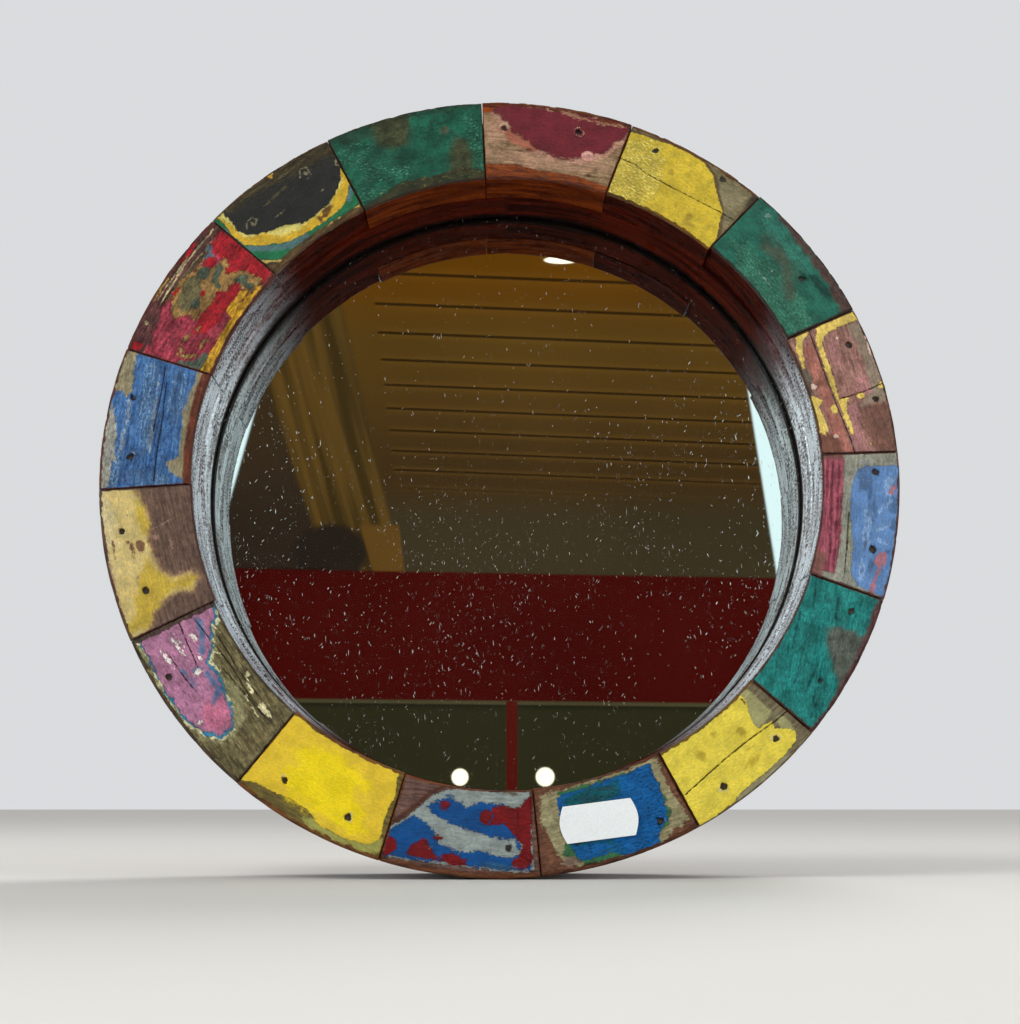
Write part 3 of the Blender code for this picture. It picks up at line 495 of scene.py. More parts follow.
        stain(((192, 110, 148), (176, 96, 134)), area((2.6, 5.8), (2.7, 7.4), (3.4, 8), (4.4, 7.4), (4.6, 5),
              (4.2, 4.6), (3.2, 4.9)), ragged=1.6, soft=1.6, streak=0.2),
        stain(((92, 118, 164), (74, 96, 150)), line(0.7, (4.3, 5.6), (4.7, 4.3), (6, 4.4)), line(0.8,
              (7.4, 3.6), (8.4, 2.6), (9.4, 2.4)), spot(6.75, 6.4, 0.4, 0.16), line(0.4, (6.6, 5.4),
              (6.4, 4.4)), ragged=1, soft=0.8, broken=0.5),
        coat(((240, 228, 238), (224, 200, 216)), spot(8.3, 5.6, 0.8, 0.18), spot(8.5, 3.7, 0.35, 0.34),
             spot(8.2, 7.3, 0.5, 0.16), spot(8.7, 5.2, 0.3, 0.12), spot(6.4, 5.2, 0.12, 0.5),
             spot(3.9, 8.1, 0.14, 0.3), spot(7.1, 4.2, 0.16, 0.1), ragged=0.55, soft=0.12, broken=0.7),
        coat(((236, 222, 196), (206, 190, 156)), spot(1.7, 2.1, 0.5, 0.36), line(0.5, (3.1, 1.8),
             (4.3, 1.2)), line(0.35, (1.7, 3.1), (2.4, 2.9)), line(0.3, (2.8, 2.8), (3.3, 2.4)),
             spot(4.3, 0.9, 0.2, 0.2), line(0.3, (6.6, 2.1), (7, 2.6)), line(0.25, (7.8, 0.9), (8.6, 1.3)),
             ragged=0.5, soft=0.15, thick=0.1, broken=0.5),
        cracks=(((5.4, 6.5), (6.6, 6.7), (8.2, 6.9)), ((6.6, 4.9), (8.2, 4.6), (9.8, 4.4)), ((3, 2.3),
        (5.4, 1.8), (7.4, 2.1), (9.4, 2.7)), ((1.4, 2.6), (3.6, 2.5), (5.6, 2.7)), ((2.6, 1.5), (5, 1.4),
        (7.6, 1.3))), nails=((0.25, 0), (1, 0)), rims=(0.6, 0.8, 0.6, 1.6), rim_tone=((84, 66, 46),
        (44, 34, 24)), rough=0.3, grooves=0.3, mottle=0.26, tilt=-3, tint=(1.26, 1.32, 1.09)),
    "12": block(
        "facing_ochre", ((122, 98, 84), (92, 72, 62)),
        stain(((176, 144, 112), (148, 118, 92)), ochre_field, ragged=1.2, soft=1.6, bloom=1, streak=0.3),
        coat(((226, 212, 146), (212, 192, 116)), ochre_field, ragged=0.7, soft=1, thick=0.06, streak=0.3,
             broken=0.4),
        stain(((216, 194, 74), (200, 174, 58)), area((0.2, 10.4), (0.5, 7.4), (1.7, 5.4), (2, 3.4),
              (1.7, 1.8), (2.4, 1.2), (2.9, 3.6), (4, 5.2), (5, 5.4), (3, 7.6), (1.2, 8.6), (1, 10.4)),
              spot(8.1, 5.6, 1.2, 0.5), ragged=1.6, soft=1.6, broken=0.4),
        stain(((232, 224, 176), (220, 208, 150)), spot(7.6, 9.2, 2.4, 0.7), ragged=1.6, soft=1.4),
        coat(((150, 112, 78), (112, 80, 58)), spot(5.7, 7, 0.5, 0.24), spot(5.8, 6, 0.42, 0.5),
             spot(6.2, 7.3, 0.12, 0.2), spot(5.2, 4.6, 0.2, 0.3), spot(6, 5, 0.2, 0.5),
             spot(6.1, 8.9, 0.3, 0.1), line(0.22, (3.7, 6.9), (4.3, 6.6)), line(0.2, (8, 7.2), (8.5, 7.6)),
             ragged=0.9, soft=0.3, thick=-0.05, broken=0.9),
        stain(((168, 140, 122), (138, 108, 92)), line(0.12, (6.8, 4.7), (7.4, 2.2)),
              spot(6.2, 4.3, 0.2, 0.4), spot(5.4, 2.8, 0.4, 0.12), ragged=0.25, soft=0.3, broken=0.5),
        nails=((1, 0), (1, 0)), rims=(0.7, 0.7, 0.5, 0.5), rim_tone=((84, 50, 40), (52, 32, 26)), rough=0.1,
        grooves=0.12, flecks=0.08, mottle=0.18, tint=(0.84, 0.77, 0.73)),
    "13": block(
        "facing_blue", ((78, 122, 184), (48, 88, 150)),
        coat(((86, 130, 190), (52, 94, 158)), EVERYWHERE, streak=1, ragged=0.2),
        coat(((146, 172, 204), (120, 150, 190)), spot(2, 8, 2, 0.5), spot(7.6, 6.2, 2.2, 0.6),
             spot(7.4, 2.8, 2.2, 0.8), spot(5, 5.2, 2.6, 0.4), spot(0.6, 5, 0.7, 2.4), ragged=0.8, soft=0.3,
             thick=0.06, streak=1, broken=1, sparse=-0.1),
        coat(((30, 62, 122), (22, 46, 98)), spot(1.6, 6, 1.6, 1.4), spot(2.6, 4.2, 2.8, 0.7),
             spot(6.6, 4.4, 3, 0.5), spot(3, 7.3, 2.4, 0.4), spot(8.6, 5.4, 1.4, 0.3),
             spot(5.2, 2.8, 3.4, 0.4), ragged=0.7, soft=0.3, thick=-0.08, streak=1, broken=1, sparse=-0.12),
        stain(((184, 178, 168), (150, 142, 142)), area((-0.4, 10.6), (0.3, 9), (2.2, 8.5), (4.6, 8.6),
              (5.6, 9.2), (6.2, 10.6)), ragged=1.3, soft=0.4, streak=1, broken=0.9),
        stain(((152, 164, 186), (128, 142, 172)), line(0.5, (2.6, 7.9), (5.2, 7.6), (6.4, 7.9)), line(0.4,
              (2.8, 4.7), (6, 4.9), (8.8, 5.4)), ragged=0.8, soft=0.3, streak=1, broken=1, sparse=0.2),
        stain(((176, 160, 130), (146, 130, 104)), area((6.9, 10.6), (7, 9), (6.6, 8.1), (7.2, 7.8),
              (8.2, 8.1), (10.4, 8.7), (10.4, 10.6)), ragged=0.8, streak=0.9, soft=0.3, broken=0.8),
        stain(((166, 152, 124), (140, 122, 96)), area((0.4, 0.8), (1.1, 2.3), (1.9, 2.7), (2.3, 1.4),
              (6, 1.75), (10.4, 1.5), (10.4, 0.6), (0.8, 0.6)), ragged=0.5, soft=0.4, broken=0.8),
        stain(((130, 66, 40), (94, 40, 24)), area((-1, 0.9), (3, 1.05), (8, 1.1), (11, 1), (11, -1),
              (-1, -1)), ragged=0.4, soft=0.4, gloss=0.25, streak=0.9),
        cracks=(((0.4, 4), (2.4, 3.9), (5, 3.8), (8.4, 4.4)), ((4.4, 4.55), (7, 4.6), (9.6, 5.1))),
        nails=((0.9, 0.4), (0.7, 0.2)), rims=(1.2, 0.7, 0.35, 0.4), rim_tone=((100, 46, 30), (60, 28, 20)),
        rough=0.24, grooves=0.4, flecks=0.15, mottle=0.26, tint=(0.84, 0.9, 0.82)),
    "14": block(
        "facing_red", ((112, 60, 54), (74, 38, 36)),
        coat(((172, 58, 76), (136, 34, 50)), area((-1, 8), (1.6, 8.2), (3.6, 8.5), (10.4, 8.3), (10.4, 1),
             (8.8, 0.7), (8, 1.2), (-1, 1.4)), ragged=0.7, streak=0.9, broken=0.4),
        coat(((178, 26, 38), (142, 12, 24)), area((2.6, 4), (4.2, 4.3), (6, 4.3), (7.4, 4.6), (8.3, 5.5),
             (8.6, 8.2), (10.4, 8.4), (10.4, 0.6), (8.7, 0.6), (8.3, 2.6), (7.4, 2.2), (6.4, 1.9),
             (4.6, 1.9), (3, 2.4)), ragged=1.4, soft=0.6, thick=0.02, streak=0.6),
        stain(((104, 82, 62), (80, 58, 42)), area((3.4, 8.4), (4.4, 8.6), (8.6, 8.7), (8.6, 8.1), (7.2, 7.7),
              (4.2, 8)), ragged=0.6, soft=0.4),
        coat(((172, 124, 74), (142, 94, 52)), area((2.9, 6.7), (3.6, 7.4), (4.6, 8.4), (5.6, 8.1), (7, 7.6),
             (8.4, 8.2), (8.2, 7.8), (7.1, 7.3), (7.2, 6.5), (8.1, 5.9), (8.6, 5.9), (8.3, 5), (7.6, 4.6),
             (8.4, 3.6), (8.9, 2.2), (9, 0.9), (7.4, 0.9), (7.3, 1.6), (7.8, 2.9), (7.2, 3.4), (6.6, 3),
             (6.2, 4), (5, 4), (3.6, 4.4), (3.7, 5.4)), line(0.35, (0.7, 4.6), (0.8, 3.2), (1.2, 2.2)),
             spot(2, 4.4, 0.35, 0.18), spot(1.1, 4.3, 0.25, 0.3), line(0.25, (1.7, 2.4), (2.3, 2.5),
             (2.5, 1.8)), spot(2.9, 3.6, 0.3, 0.15), ragged=0.9, soft=0.3, broken=1, sparse=0.7),
        coat(((118, 98, 68), (100, 82, 56)), area((3.7, 6.4), (4.1, 7.2), (5.4, 7.7), (6.3, 7.2), (6.2, 6.2),
             (5.6, 5.5), (4.4, 5.2), (3.8, 5.6)), ragged=0.7, soft=0.3),
        coat(((92, 92, 80), (70, 72, 58)), spot(6.8, 6.6, 0.48, 0.62), area((6.3, 4.3), (6.6, 5.2),
             (7.3, 5.7), (8, 5.9), (7.9, 5.2), (7, 4.9), (6.6, 4)), area((7.5, 3.3), (8.3, 3.2), (8.5, 2.4),
             (8.1, 1.9), (8.3, 1.1), (7.6, 1), (7.7, 2)), spot(4.6, 5.3, 0.4, 0.4), ragged=0.7, soft=0.2),
        stain(((104, 112, 132), (80, 84, 100)), spot(8, 7.3, 0.35, 0.5), spot(8.4, 7.9, 0.3, 0.3),
              ragged=0.5, soft=0.5),
        coat(((186, 20, 34), (150, 8, 22)), spot(7.7, 6.9, 0.4, 0.55), spot(4.9, 7.9, 0.5, 0.16),
             spot(7.3, 9.5, 0.8, 0.35), spot(0.3, 9, 0.4, 0.6), spot(5.5, 5.3, 0.3, 0.2), ragged=0.7,
             soft=0.2),
        coat(((116, 60, 60), (78, 38, 40)), area((0.6, 10.4), (0.7, 7.7), (1.6, 8), (2.4, 7.9), (3.4, 8.6),
             (6.4, 8.4), (9.4, 8.6), (9.6, 9.2), (6.2, 9.3), (4, 9.4), (3.2, 10.4)), ragged=0.8, soft=0.3,
             streak=0.7),
        coat(((96, 96, 86), (66, 66, 58)), area((-0.5, 4.8), (0.3, 4), (0.6, 2.6), (1.6, 1.8), (1.4, 1.1),
             (-0.5, 1.6)), ragged=0.6, soft=0.4, thick=0.02),
        coat(((212, 160, 74), (176, 122, 56)), area((3.3, 10.5), (3.5, 9.6), (5.2, 9.45), (6.6, 9.9),
             (6.7, 10.5)), ragged=0.9, soft=0.4),
        coat(((218, 154, 46), (192, 124, 30)), area((-1, 1.75), (0.5, 1.35), (3.2, 1.2), (5, 1), (5.2, 2),
             (7.2, 2), (7.5, 1.3), (6, 1.2), (8.6, 0.8), (8.6, 0.25), (4, 0.35), (-1, 0.6)), ragged=0.5,
             soft=0.3, gloss=0.25, broken=0.4),
        stain(((198, 170, 134), (166, 132, 98)), line(0.3, (3.4, 8.75), (6.5, 8.95), (9.6, 9.1)), line(0.18,
              (3.6, 9.25), (7.2, 9.25)), line(0.16, (6.6, 8.3), (8.9, 8.2)), spot(2, 9.1, 0.14, 0.4),
              ragged=0.25, soft=0.15, broken=0.2),
        nails=((0.3, 0.2), (0.3, 0.3)), rims=(1.1, 0.8, 0.4, 0.4), rim_tone=((104, 52, 40), (56, 28, 26)),
        rough=0.36, grooves=0.45, mottle=0.4, tilt=2, tint=(0.94, 1.18, 1.08)),
    "15": block(
        "facing_black", ((116, 90, 56), (66, 48, 30)),
        coat(((220, 200, 128), (184, 152, 84)), line(0.55, (-0.4, 2.7), (0.5, 1.7), (1.2, 0.8)),
             spot(7, 0.65, 0.5, 0.12), spot(9.4, 0.8, 0.4, 0.12), ragged=0.5),
        coat(((34, 124, 90), (24, 98, 70)), area((-1, 11), (-1, 3.2), (0.1, 2.4), (1.3, 0.9), (3.6, 1),
             (6, 0.8), (8, 0.7), (9.4, 0.9), (11, 1.2), (11, 11)), ragged=0.7),
        stain(((92, 128, 142), (74, 108, 122)), line(1.2, (0.2, 4.4), (1.2, 2.9), (2.6, 1.5), (4.4, 1.1)),
              line(0.6, (0, 8.6), (0.05, 5.4)), line(0.7, (9.2, 2), (10.2, 4)), ragged=0.7, soft=0.5),
        coat(((228, 188, 58), (206, 160, 40)), area((0.3, 11), (0.35, 8.6), (0.1, 7), (0.15, 5.2),
             (0.7, 4.1), (1.6, 3), (2.8, 1.9), (4, 1.35), (6, 1.2), (7.4, 1.3), (8.6, 1.7), (9.4, 2.7),
             (10.2, 4.4), (11, 6), (11, 11)), ragged=0.35, streak=0.3),
        coat(((226, 214, 142), (212, 190, 104)), black_field, area((0.6, 11), (0.7, 8.6), (0.9, 9.6),
             (1.1, 11)), area((2, 4.4), (3.3, 4.9), (3.7, 3.6), (4.8, 2.9), (4.4, 2.2), (2.7, 3.2)),
             ragged=1.1, soft=0.2, bloom=0.7, thick=0.03, broken=0.5),
        coat(((42, 40, 41), (33, 31, 33)), black_field, ragged=0.7, streak=0.2, thick=0.18, broken=0.4),
        coat(((74, 62, 40), (36, 30, 24)), area((0.9, 11), (1.2, 9.2), (3.6, 8.7), (6.4, 8.3), (8.8, 7.9),
             (10.2, 8.2), (11, 11)), ragged=1.6, soft=0.9, thick=-0.08, streak=1),
        stain(((98, 86, 58), (60, 50, 34)), line(0.3, (1.2, 9.5), (4.2, 9.3)), line(0.25, (5.6, 8.7),
              (7.8, 9.2)), line(0.2, (1.6, 10.1), (4, 10)), line(0.22, (3.4, 7), (5.6, 7.4)), ragged=0.6,
              soft=0.3, broken=0.6),
        coat(((128, 112, 70), (84, 70, 44)), area((0.9, 10.6), (1.3, 8.6), (4.2, 8.3), (6.2, 7.6),
             (9.9, 7.4), (10.4, 10.6)), ragged=1, soft=0.3, thick=0.06, streak=0.8, broken=1, sparse=-0.45),
        coat(((206, 158, 62), (166, 118, 48)), area((4.7, 10.6), (4.75, 10), (5.2, 9.2), (5.6, 10),
             (5.8, 10.6)), area((7.4, 10.6), (7.6, 10.1), (8, 9.8), (8.5, 10.6)), ragged=0.5),
        stain(((118, 80, 34), (84, 54, 26)), spot(6.25, 1.7, 0.2, 0.5), spot(7.3, 2.3, 0.5, 0.3),
              spot(6.7, 1.8, 0.5, 0.2), ragged=0.5, soft=0.4),
        coat(((150, 140, 122), (110, 100, 84)), line(0.22, (1.2, 6.3), (1.5, 6.8), (2.1, 6.9), (2.3, 6.3),
             (1.8, 5.9)), spot(1.8, 6.3, 0.1, 0.2), line(0.2, (6.9, 7.4), (7.2, 8.3), (7.7, 8.1), (7.7, 7),
             (7.2, 6.7)), spot(7.4, 7.5, 0.16, 0.3), spot(4, 5.1, 0.4, 0.1), spot(7.8, 4.6, 0.16, 0.12),
             line(0.3, (9.9, 7.1), (9.7, 6.7), (10, 6.3)), ragged=0.35, soft=0.2, thick=0.04, broken=0.3),
        nails=((0.2, 0), (0.2, 0)), rims=(0.8, 0.6, 0.3, 0.3), rim_tone=((92, 66, 38), (56, 36, 22)),
        rough=0.2, grooves=0.1, flecks=0.05, mottle=0.2, tint=(0.88, 0.9, 0.7)),
    "16": block(
        "facing_green", ((30, 100, 82), (18, 78, 64)),
        coat(((30, 102, 84), (18, 80, 66)), EVERYWHERE, streak=0.3),
        coat(((132, 178, 160), (86, 142, 124)), spot(2.6, 5.6, 1.8, 1.8), spot(1, 7, 0.9, 1.6),
             spot(1, 1.6, 1.2, 1), spot(9.5, 4.4, 0.4, 3.4), spot(3, 3.2, 2.4, 1), spot(3, 9.5, 3.4, 0.3),
             ragged=1.4, soft=0.3, thick=0.1, broken=1, sparse=-0.25),
        stain(((14, 62, 54), (12, 52, 46)), spot(4.4, 5.4, 2.6, 1.4), spot(6.8, 7.2, 0.6, 0.4),
              spot(1.5, 7.4, 0.4, 0.3), spot(7, 2.6, 2.4, 1.2), ragged=1.2, soft=0.5, broken=1, sparse=-0.3),
        stain(((76, 72, 46), (62, 60, 40)), area((2.8, 10.4), (2.8, 7.2), (3.4, 6), (4.8, 6), (5.2, 7.6),
              (5.3, 10.4)), area((7.3, 1.2), (7.5, 4), (8.1, 5.8), (8.8, 5.2), (9.2, 3.2), (9.2, 1.2)),
              ragged=0.9, soft=2, broken=0.5),
        stain(((50, 68, 52), (36, 48, 36)), area((-1, 11), (-1, 9.6), (4, 9.6), (11, 9.8), (11, 11)),
              spot(1.4, 9, 1.4, 0.6), ragged=1, soft=0.6, broken=1, sparse=0),
        stain(((80, 60, 34), (50, 38, 22)), area((-1, -1), (-1, 0.5), (2, 1), (3.6, 1.6), (6, 1.2), (8, 1.8),
              (9.4, 1.4), (11, 0.8), (11, -1)), ragged=1, soft=0.3, broken=1, sparse=0.25),
        coat(((190, 182, 96), (150, 142, 70)), spot(5, 0.9, 2.8, 0.4), spot(8.4, 1.1, 1.4, 0.6), ragged=0.8,
             soft=0.2, thick=0.06, broken=1, sparse=-0.4),
        stain(((92, 92, 76), (72, 74, 60)), spot(7.4, 6.8, 0.28, 0.5), soft=0.5),
        nails=((0.3, 0), (0.3, 0)), rims=(0.7, 0.5, 0.35, 0.4), rim_tone=((58, 38, 24), (34, 26, 18)),
        rough=0.24, grooves=0.12, flecks=0.1, mottle=0.42, tint=(0.7, 0.86, 0.72)),
}


# ---------------------------------------------------------------- meshes

def link(name, data):
    """A new object of the scene."""
    made = bpy.data.objects.new(name, data)
    bpy.context.scene.collection.objects.link(made)
    return made


def new_piece(name, points, faces, material, slot, replaced, body=BODY):
    """A finished piece of the object, made of points in the shared frame."""
    mesh = bpy.data.meshes.new(name)
    mesh.from_pydata(points.tolist(), [], faces)
    outward = bmesh.new()
    outward.from_mesh(mesh)
    bmesh.ops.recalc_face_normals(outward, faces=outward.faces)
    outward.to_mesh(mesh)
    outward.free()
    mesh.shade_smooth()
    mesh.set_sharp_from_angle(angle=SHARP)
    mesh.materials.append(material)
    piece = link(name, mesh)
    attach(piece, body)
    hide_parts(replaced)
    return piece


def stage_sheet(name, corners, material):
    """A flat sheet of the stage, which isn't part of the object."""
    mesh = bpy.data.meshes.new(name)
    mesh.from_pydata(corners, [], [(0, 1, 2, 3)])
    mesh.materials.append(material)
    sheet = link(name, mesh)
    return sheet


def store(piece, name, values, elsewhere=0.0):
    """Keeps a value, or a vector, for each point, for the material to read. A block's values stop
    at the last point of its face, and the points after it get the value for elsewhere."""
    values = np.asarray(values, np.float32)
    kind, key = ("FLOAT_VECTOR", "vector") if values.ndim == 2 else ("FLOAT", "value")
    attribute = piece.data.attributes.new(name, kind, "POINT")
    spare = len(piece.data.vertices) - len(values)
    if spare:
        values = np.concatenate([values, np.full(spare, elsewhere, np.float32)])
    attribute.data.foreach_set(key, values.ravel())


def loop_faces(first, second):
    """Quads between two closed loops of point numbers."""
    count = len(first)
    return [(first[i], first[(i + 1) % count], second[(i + 1) % count], second[i]) for i in range(count)]


def lofted_faces(loops, size, closed):
    """Faces over loops of points, each loop joined to the next: the last one to the first, or else
    with a cap at both ends."""
    numbers = np.arange(loops * size).reshape(loops, size).tolist()
    following = numbers[1:] + numbers[:1] if closed else numbers[1:]
    faces = [] if closed else [numbers[0][::-1], numbers[-1]]
    for first, second in zip(numbers, following):
        faces += loop_faces(first, second)
    return faces


def grid_faces(columns, rows):
    """Quads over a grid of points, and the numbers of the points round its border."""
    number = np.arange(columns * rows).reshape(rows, columns)
    quads = np.stack([number[:-1, :-1], number[:-1, 1:], number[1:, 1:], number[1:, :-1]], axis=-1)
    border = np.concatenate([number[0, :], number[1:, -1], number[-1, -2::-1], number[-2:0:-1, 0]])
    return quads.reshape(-1, 4).tolist(), border.tolist()


# ---------------------------------------------------------------- the blocks' meshes

def grid_lines(length):
    """Places of grid lines along a length in mm, as fractions, closer together at both ends."""
    close = [0.0, 0.05, 0.12, 0.2, 0.3, 0.42, 0.56, 0.72, 0.9, 1.1]
    inset = 1.35
    middle = np.linspace(inset, length - inset, round((length - 2 * inset) / GRID) + 1)
    return np.concatenate([close, middle, length - np.array(close[::-1])]) / length


def with_level(at, level):
    """Plane points with a third number, for three-dimensional noise."""
    return np.column_stack([at, np.full(len(at), float(level))])


def nail_distances(wedge, at, seed):
    """Ragged distance in mm from each of the block's two nails."""
    for number, nail in enumerate(wedge.nails):
        wobble = noise(with_level(at * 0.9, number), seed + 9)
        wobble += 0.5 * noise(with_level(at * 2.0, number), seed + 10)
        yield np.linalg.norm(at - nail, axis=1) + 0.45 * wobble


def coat_distance(wedge, layer, at, seed):
    """Distance in mm from a coat's ragged edge, positive under the coat."""
    reach = np.max([depth_inside(at, shape, wedge) for shape in layer.shapes], axis=0)
    coarse = noise(with_level(at * (0.35, 0.45), seed), seed + 3)
    middle = noise(with_level(at * (0.9, 1.2), seed), seed + 4)
    fine = noise(with_level(at * (1.7, 2.6), seed), seed + 6)
    return reach + layer.bloom + layer.ragged * (0.55 * coarse + 0.45 * middle + 0.3 * fine)


def worn_edges(at, margins, seed):
    """How far in mm the block's arrises are rounded and chipped away at each point of its face."""
    wobble = noise(with_level(at / 3.5, seed), seed + 13)
    chips = smooth(0.45, 0.75, noise(with_level(at / 2.2, seed), seed + 17))
    joint_radius = JOINT_ARRIS * (1 + 0.5 * wobble) + 0.35 * chips
    rim_radius = RIM_ARRIS * (1 + 0.35 * wobble) + 0.5 * chips
    to_start, to_end, to_bore, to_rim = margins
    joint = np.clip(1 - np.minimum(to_start, to_end) / joint_radius, 0, 1)
    rim = np.clip(1 - np.minimum(to_bore, to_rim) / rim_radius, 0, 1)
    worn = np.minimum(np.hypot(joint, rim), 1)
    return np.where(rim > joint, rim_radius, joint_radius) * (1 - np.sqrt(1 - worn**2))


def face_height(wedge, plan, at, margins, seed):
    """Height of a block's worn, painted face above the sawn face, in mm."""
    tilt = math.radians(plan.tilt)
    along = at[:, 0] * math.cos(tilt) + at[:, 1] * math.sin(tilt)
    across = at[:, 1] * math.cos(tilt) - at[:, 0] * math.sin(tilt)
    grain = with_level(np.column_stack([along / 7, across / 0.8]), seed)
    rolls = with_level(at / (17, 12), seed + 0.5)
    height = plan.rough * layered_noise(grain, seed) + 0.12 * noise(rolls, seed + 5)
    for number, layer in enumerate(plan.coats):
        if layer.thick:
            height += layer.thick * smooth(-0.15, 0.3, coat_distance(wedge, layer, at, seed + 40 * number))
    height -= np.percentile(height, 97) - 0.08
    for crack in plan.cracks:
        path = wedge.plan(crack)
        off = np.min([segment_distance(at, *pair) for pair in zip(path, path[1:])], axis=0)
        height -= CRACK_DEPTH * np.exp(-((off / CRACK_WIDTH) ** 2))
    for off, (hole, ring) in zip(nail_distances(wedge, at, seed), plan.nails):
        depth = HOLE_DEPTH if hole > 0.5 else DENT_DEPTH * hole
        height -= depth * (1 - smooth(0.7, 1.2, off))
        height += (0.06 + 0.1 * ring) * np.exp(-(((off - 1.6) / 0.4) ** 2))
    return height - worn_edges(at, margins, seed)


def block_grid(wedge):
    """The points of a block's face in its plane, in rows from the opening to the rim, each point's
    distance in mm from the start, the end, the opening and the rim, and the columns and rows."""
    lines_along = grid_lines(2 * wedge.half * wedge.rim)
    lines_out = grid_lines(wedge.rim - wedge.bore)
    along, outward = (part.ravel() for part in np.meshgrid(lines_along, lines_out))
    at = wedge.plan(np.stack([10 * along, 10 * outward], axis=1))
    radius = np.hypot(at[:, 0], at[:, 1])
    clock = np.arctan2(at[:, 0], at[:, 1])
    margins = (
        radius * np.sin(wedge.half + clock),
        radius * np.sin(wedge.half - clock),
        radius - bore_at(wedge.middle + clock, wedge.bore),
        wedge.rim - radius,
    )
    return at, [np.maximum(margin, 0) for margin in margins], (len(lines_along), len(lines_out))


def block_body(wedge, at, height, size, seed):
    """All of a block's points, as places in its plane and depths, and its faces: the grid of its
    face, walls a little rough that lean inwards, and a rear closed at its middle."""
    faces, loop = grid_faces(*size)
    flats = [at]
    depths = [-height]
    border = at[loop]
    border_depth = -height[loop]
    centre = border.mean(axis=0)
    inwards = centre - border
    inwards /= np.linalg.norm(inwards, axis=1)[:, None]
    total = len(at)
    for depth in WALL_DEPTHS + (wedge.depth,):
        level = np.maximum(depth, border_depth + 0.05 * depth)
        rough = noise(np.column_stack([border * 0.4, level * 0.6]), seed + 21)
        rough += 0.5 * noise(np.column_stack([border * 1.3, level * 2.0]), seed + 22)
        flats.append(border + inwards * np.maximum(0.06 + 0.06 * rough, 0)[:, None])
        depths.append(level)
        following = list(range(total, total + len(border)))
        faces += loop_faces(following, loop)
        loop = following
        total += len(border)
    flats.append(centre[None, :])
    depths.append(np.array([wedge.depth]))
    faces += [(loop[(i + 1) % len(loop)], loop[i], total) for i in range(len(loop))]
    return np.concatenate(flats), np.concatenate(depths), faces


def signed_offset(at, path):
    """Distance in mm to the nearest stretch of a line, positive on its outer side."""
    best = np.full(len(at), FAR)
    for start, end in zip(path, path[1:]):
        off = segment_distance(at, start, end)
        side = (end[0] - start[0]) * (at[:, 1] - start[1]) - (end[1] - start[1]) * (at[:, 0] - start[0])
        signed = np.where(side > 0, off, -off)
        best = np.where(off < np.abs(best), signed, best)
    return best


def store_wear(piece, wedge, plan, at, margins, seed):
    """Stores what the material needs on the face: the nails' holes and rings, how far each point is
    inside each coat and from each crack, and the varnished margins."""
    holes = np.zeros(len(at))
    rings = np.zeros(len(at))
    patchy = 0.6 + 0.6 * noise(with_level(at * 0.7, 3), seed + 12)
    for off, (hole, ring) in zip(nail_distances(wedge, at, seed), plan.nails):
        holes = np.maximum(holes, hole * (1 - smooth(0.7, 1.35, off)))
        rings = np.maximum(rings, ring * np.exp(-(((off - 1.65) / 0.45) ** 2)) * patchy)
    store(piece, "hole", holes)
    store(piece, "ring", rings)
    for number, layer in enumerate(plan.coats):
        store(piece, f"coat_{number}", coat_distance(wedge, layer, at, seed + 40 * number), -5.0)
    for number, crack in enumerate(plan.cracks):
        store(piece, f"crack_{number}", signed_offset(at, wedge.plan(crack)), FAR)
    bore_width, rim_width, start_width, end_width = plan.rims
    wander = noise(with_level(at * 0.5, seed), seed + 31) + 0.6 * noise(with_level(at * 1.6, seed), seed + 32)
    cover = np.zeros(len(at))
    for margin, width in zip(margins, (start_width, end_width, bore_width, 1.6 * rim_width)):
        cover = np.maximum(cover, 1 - smooth(0.6 * width, 1.35 * width, margin + 0.35 * width * wander))
    store(piece, "varnish", cover, 1.0)


def make_block(label, plan):
    """A facing block: its painted face as a fine grid, then its walls and its back."""
    seed = int(label) * 1000
    wedge = Wedge(label)
    at, margins, size = block_grid(wedge)
    height = face_height(wedge, plan, at, margins, seed)
    flats, depths, faces = block_body(wedge, at, height, size, seed)
    piece = new_piece(f"painted_block_{label}", wedge.world(flats, depths), faces,
                      painted_wood(label, plan), plan.slot, f"facing_block_{label}")
    store(piece, "grain", np.column_stack([flats, depths]))
    store(piece, "wall", np.zeros(len(at)), 1.0)
    clock = wedge.middle + np.arctan2(flats[:, 0], flats[:, 1])
    to_bore = np.hypot(flats[:, 0], flats[:, 1]) - bore_at(clock, wedge.bore)
    store(piece, "well", (to_bore < 1.0) & (depths > 1.0))
    store_wear(piece, wedge, plan, at, margins, seed)


# ---------------------------------------------------------------- turned pieces

def turned(name, stations, turns, relief, material, slot, replaced, closed=True, seed=0):
    """A turned piece. A station is (radius, depth, share): share 1 turns about the opening's centre,
    0 about the frame's. Relief is in mm, along each station's radius."""
    radius, depth, share = np.array(stations, float).T
    clock = np.arange(turns) * 2 * math.pi / turns
    ring, turn = (part.ravel() for part in np.meshgrid(np.arange(len(radius)), clock, indexing="ij"))
    lathe = np.column_stack([np.sin(turn) * 9 + radius[ring] * 0.1, np.cos(turn) * 9, depth[ring] * 1.6])
    marks = relief * (0.6 * noise(lathe, seed) + 0.4 * noise(lathe * (4, 4, 2), seed + 1))
    reach = radius[ring] + np.where(radius[ring] > 0, marks, 0)
    x = reach * np.sin(turn) + share[ring] * OPENING.x / MM
    z = reach * np.cos(turn) + share[ring] * OPENING.z / MM
    points = np.column_stack([x, depth[ring], z]) * MM
    faces = lofted_faces(len(radius), turns, closed)
    piece = new_piece(name, points, faces, material, slot, replaced)
    store(piece, "grain", np.column_stack([turn * 120, radius[ring], depth[ring]]))


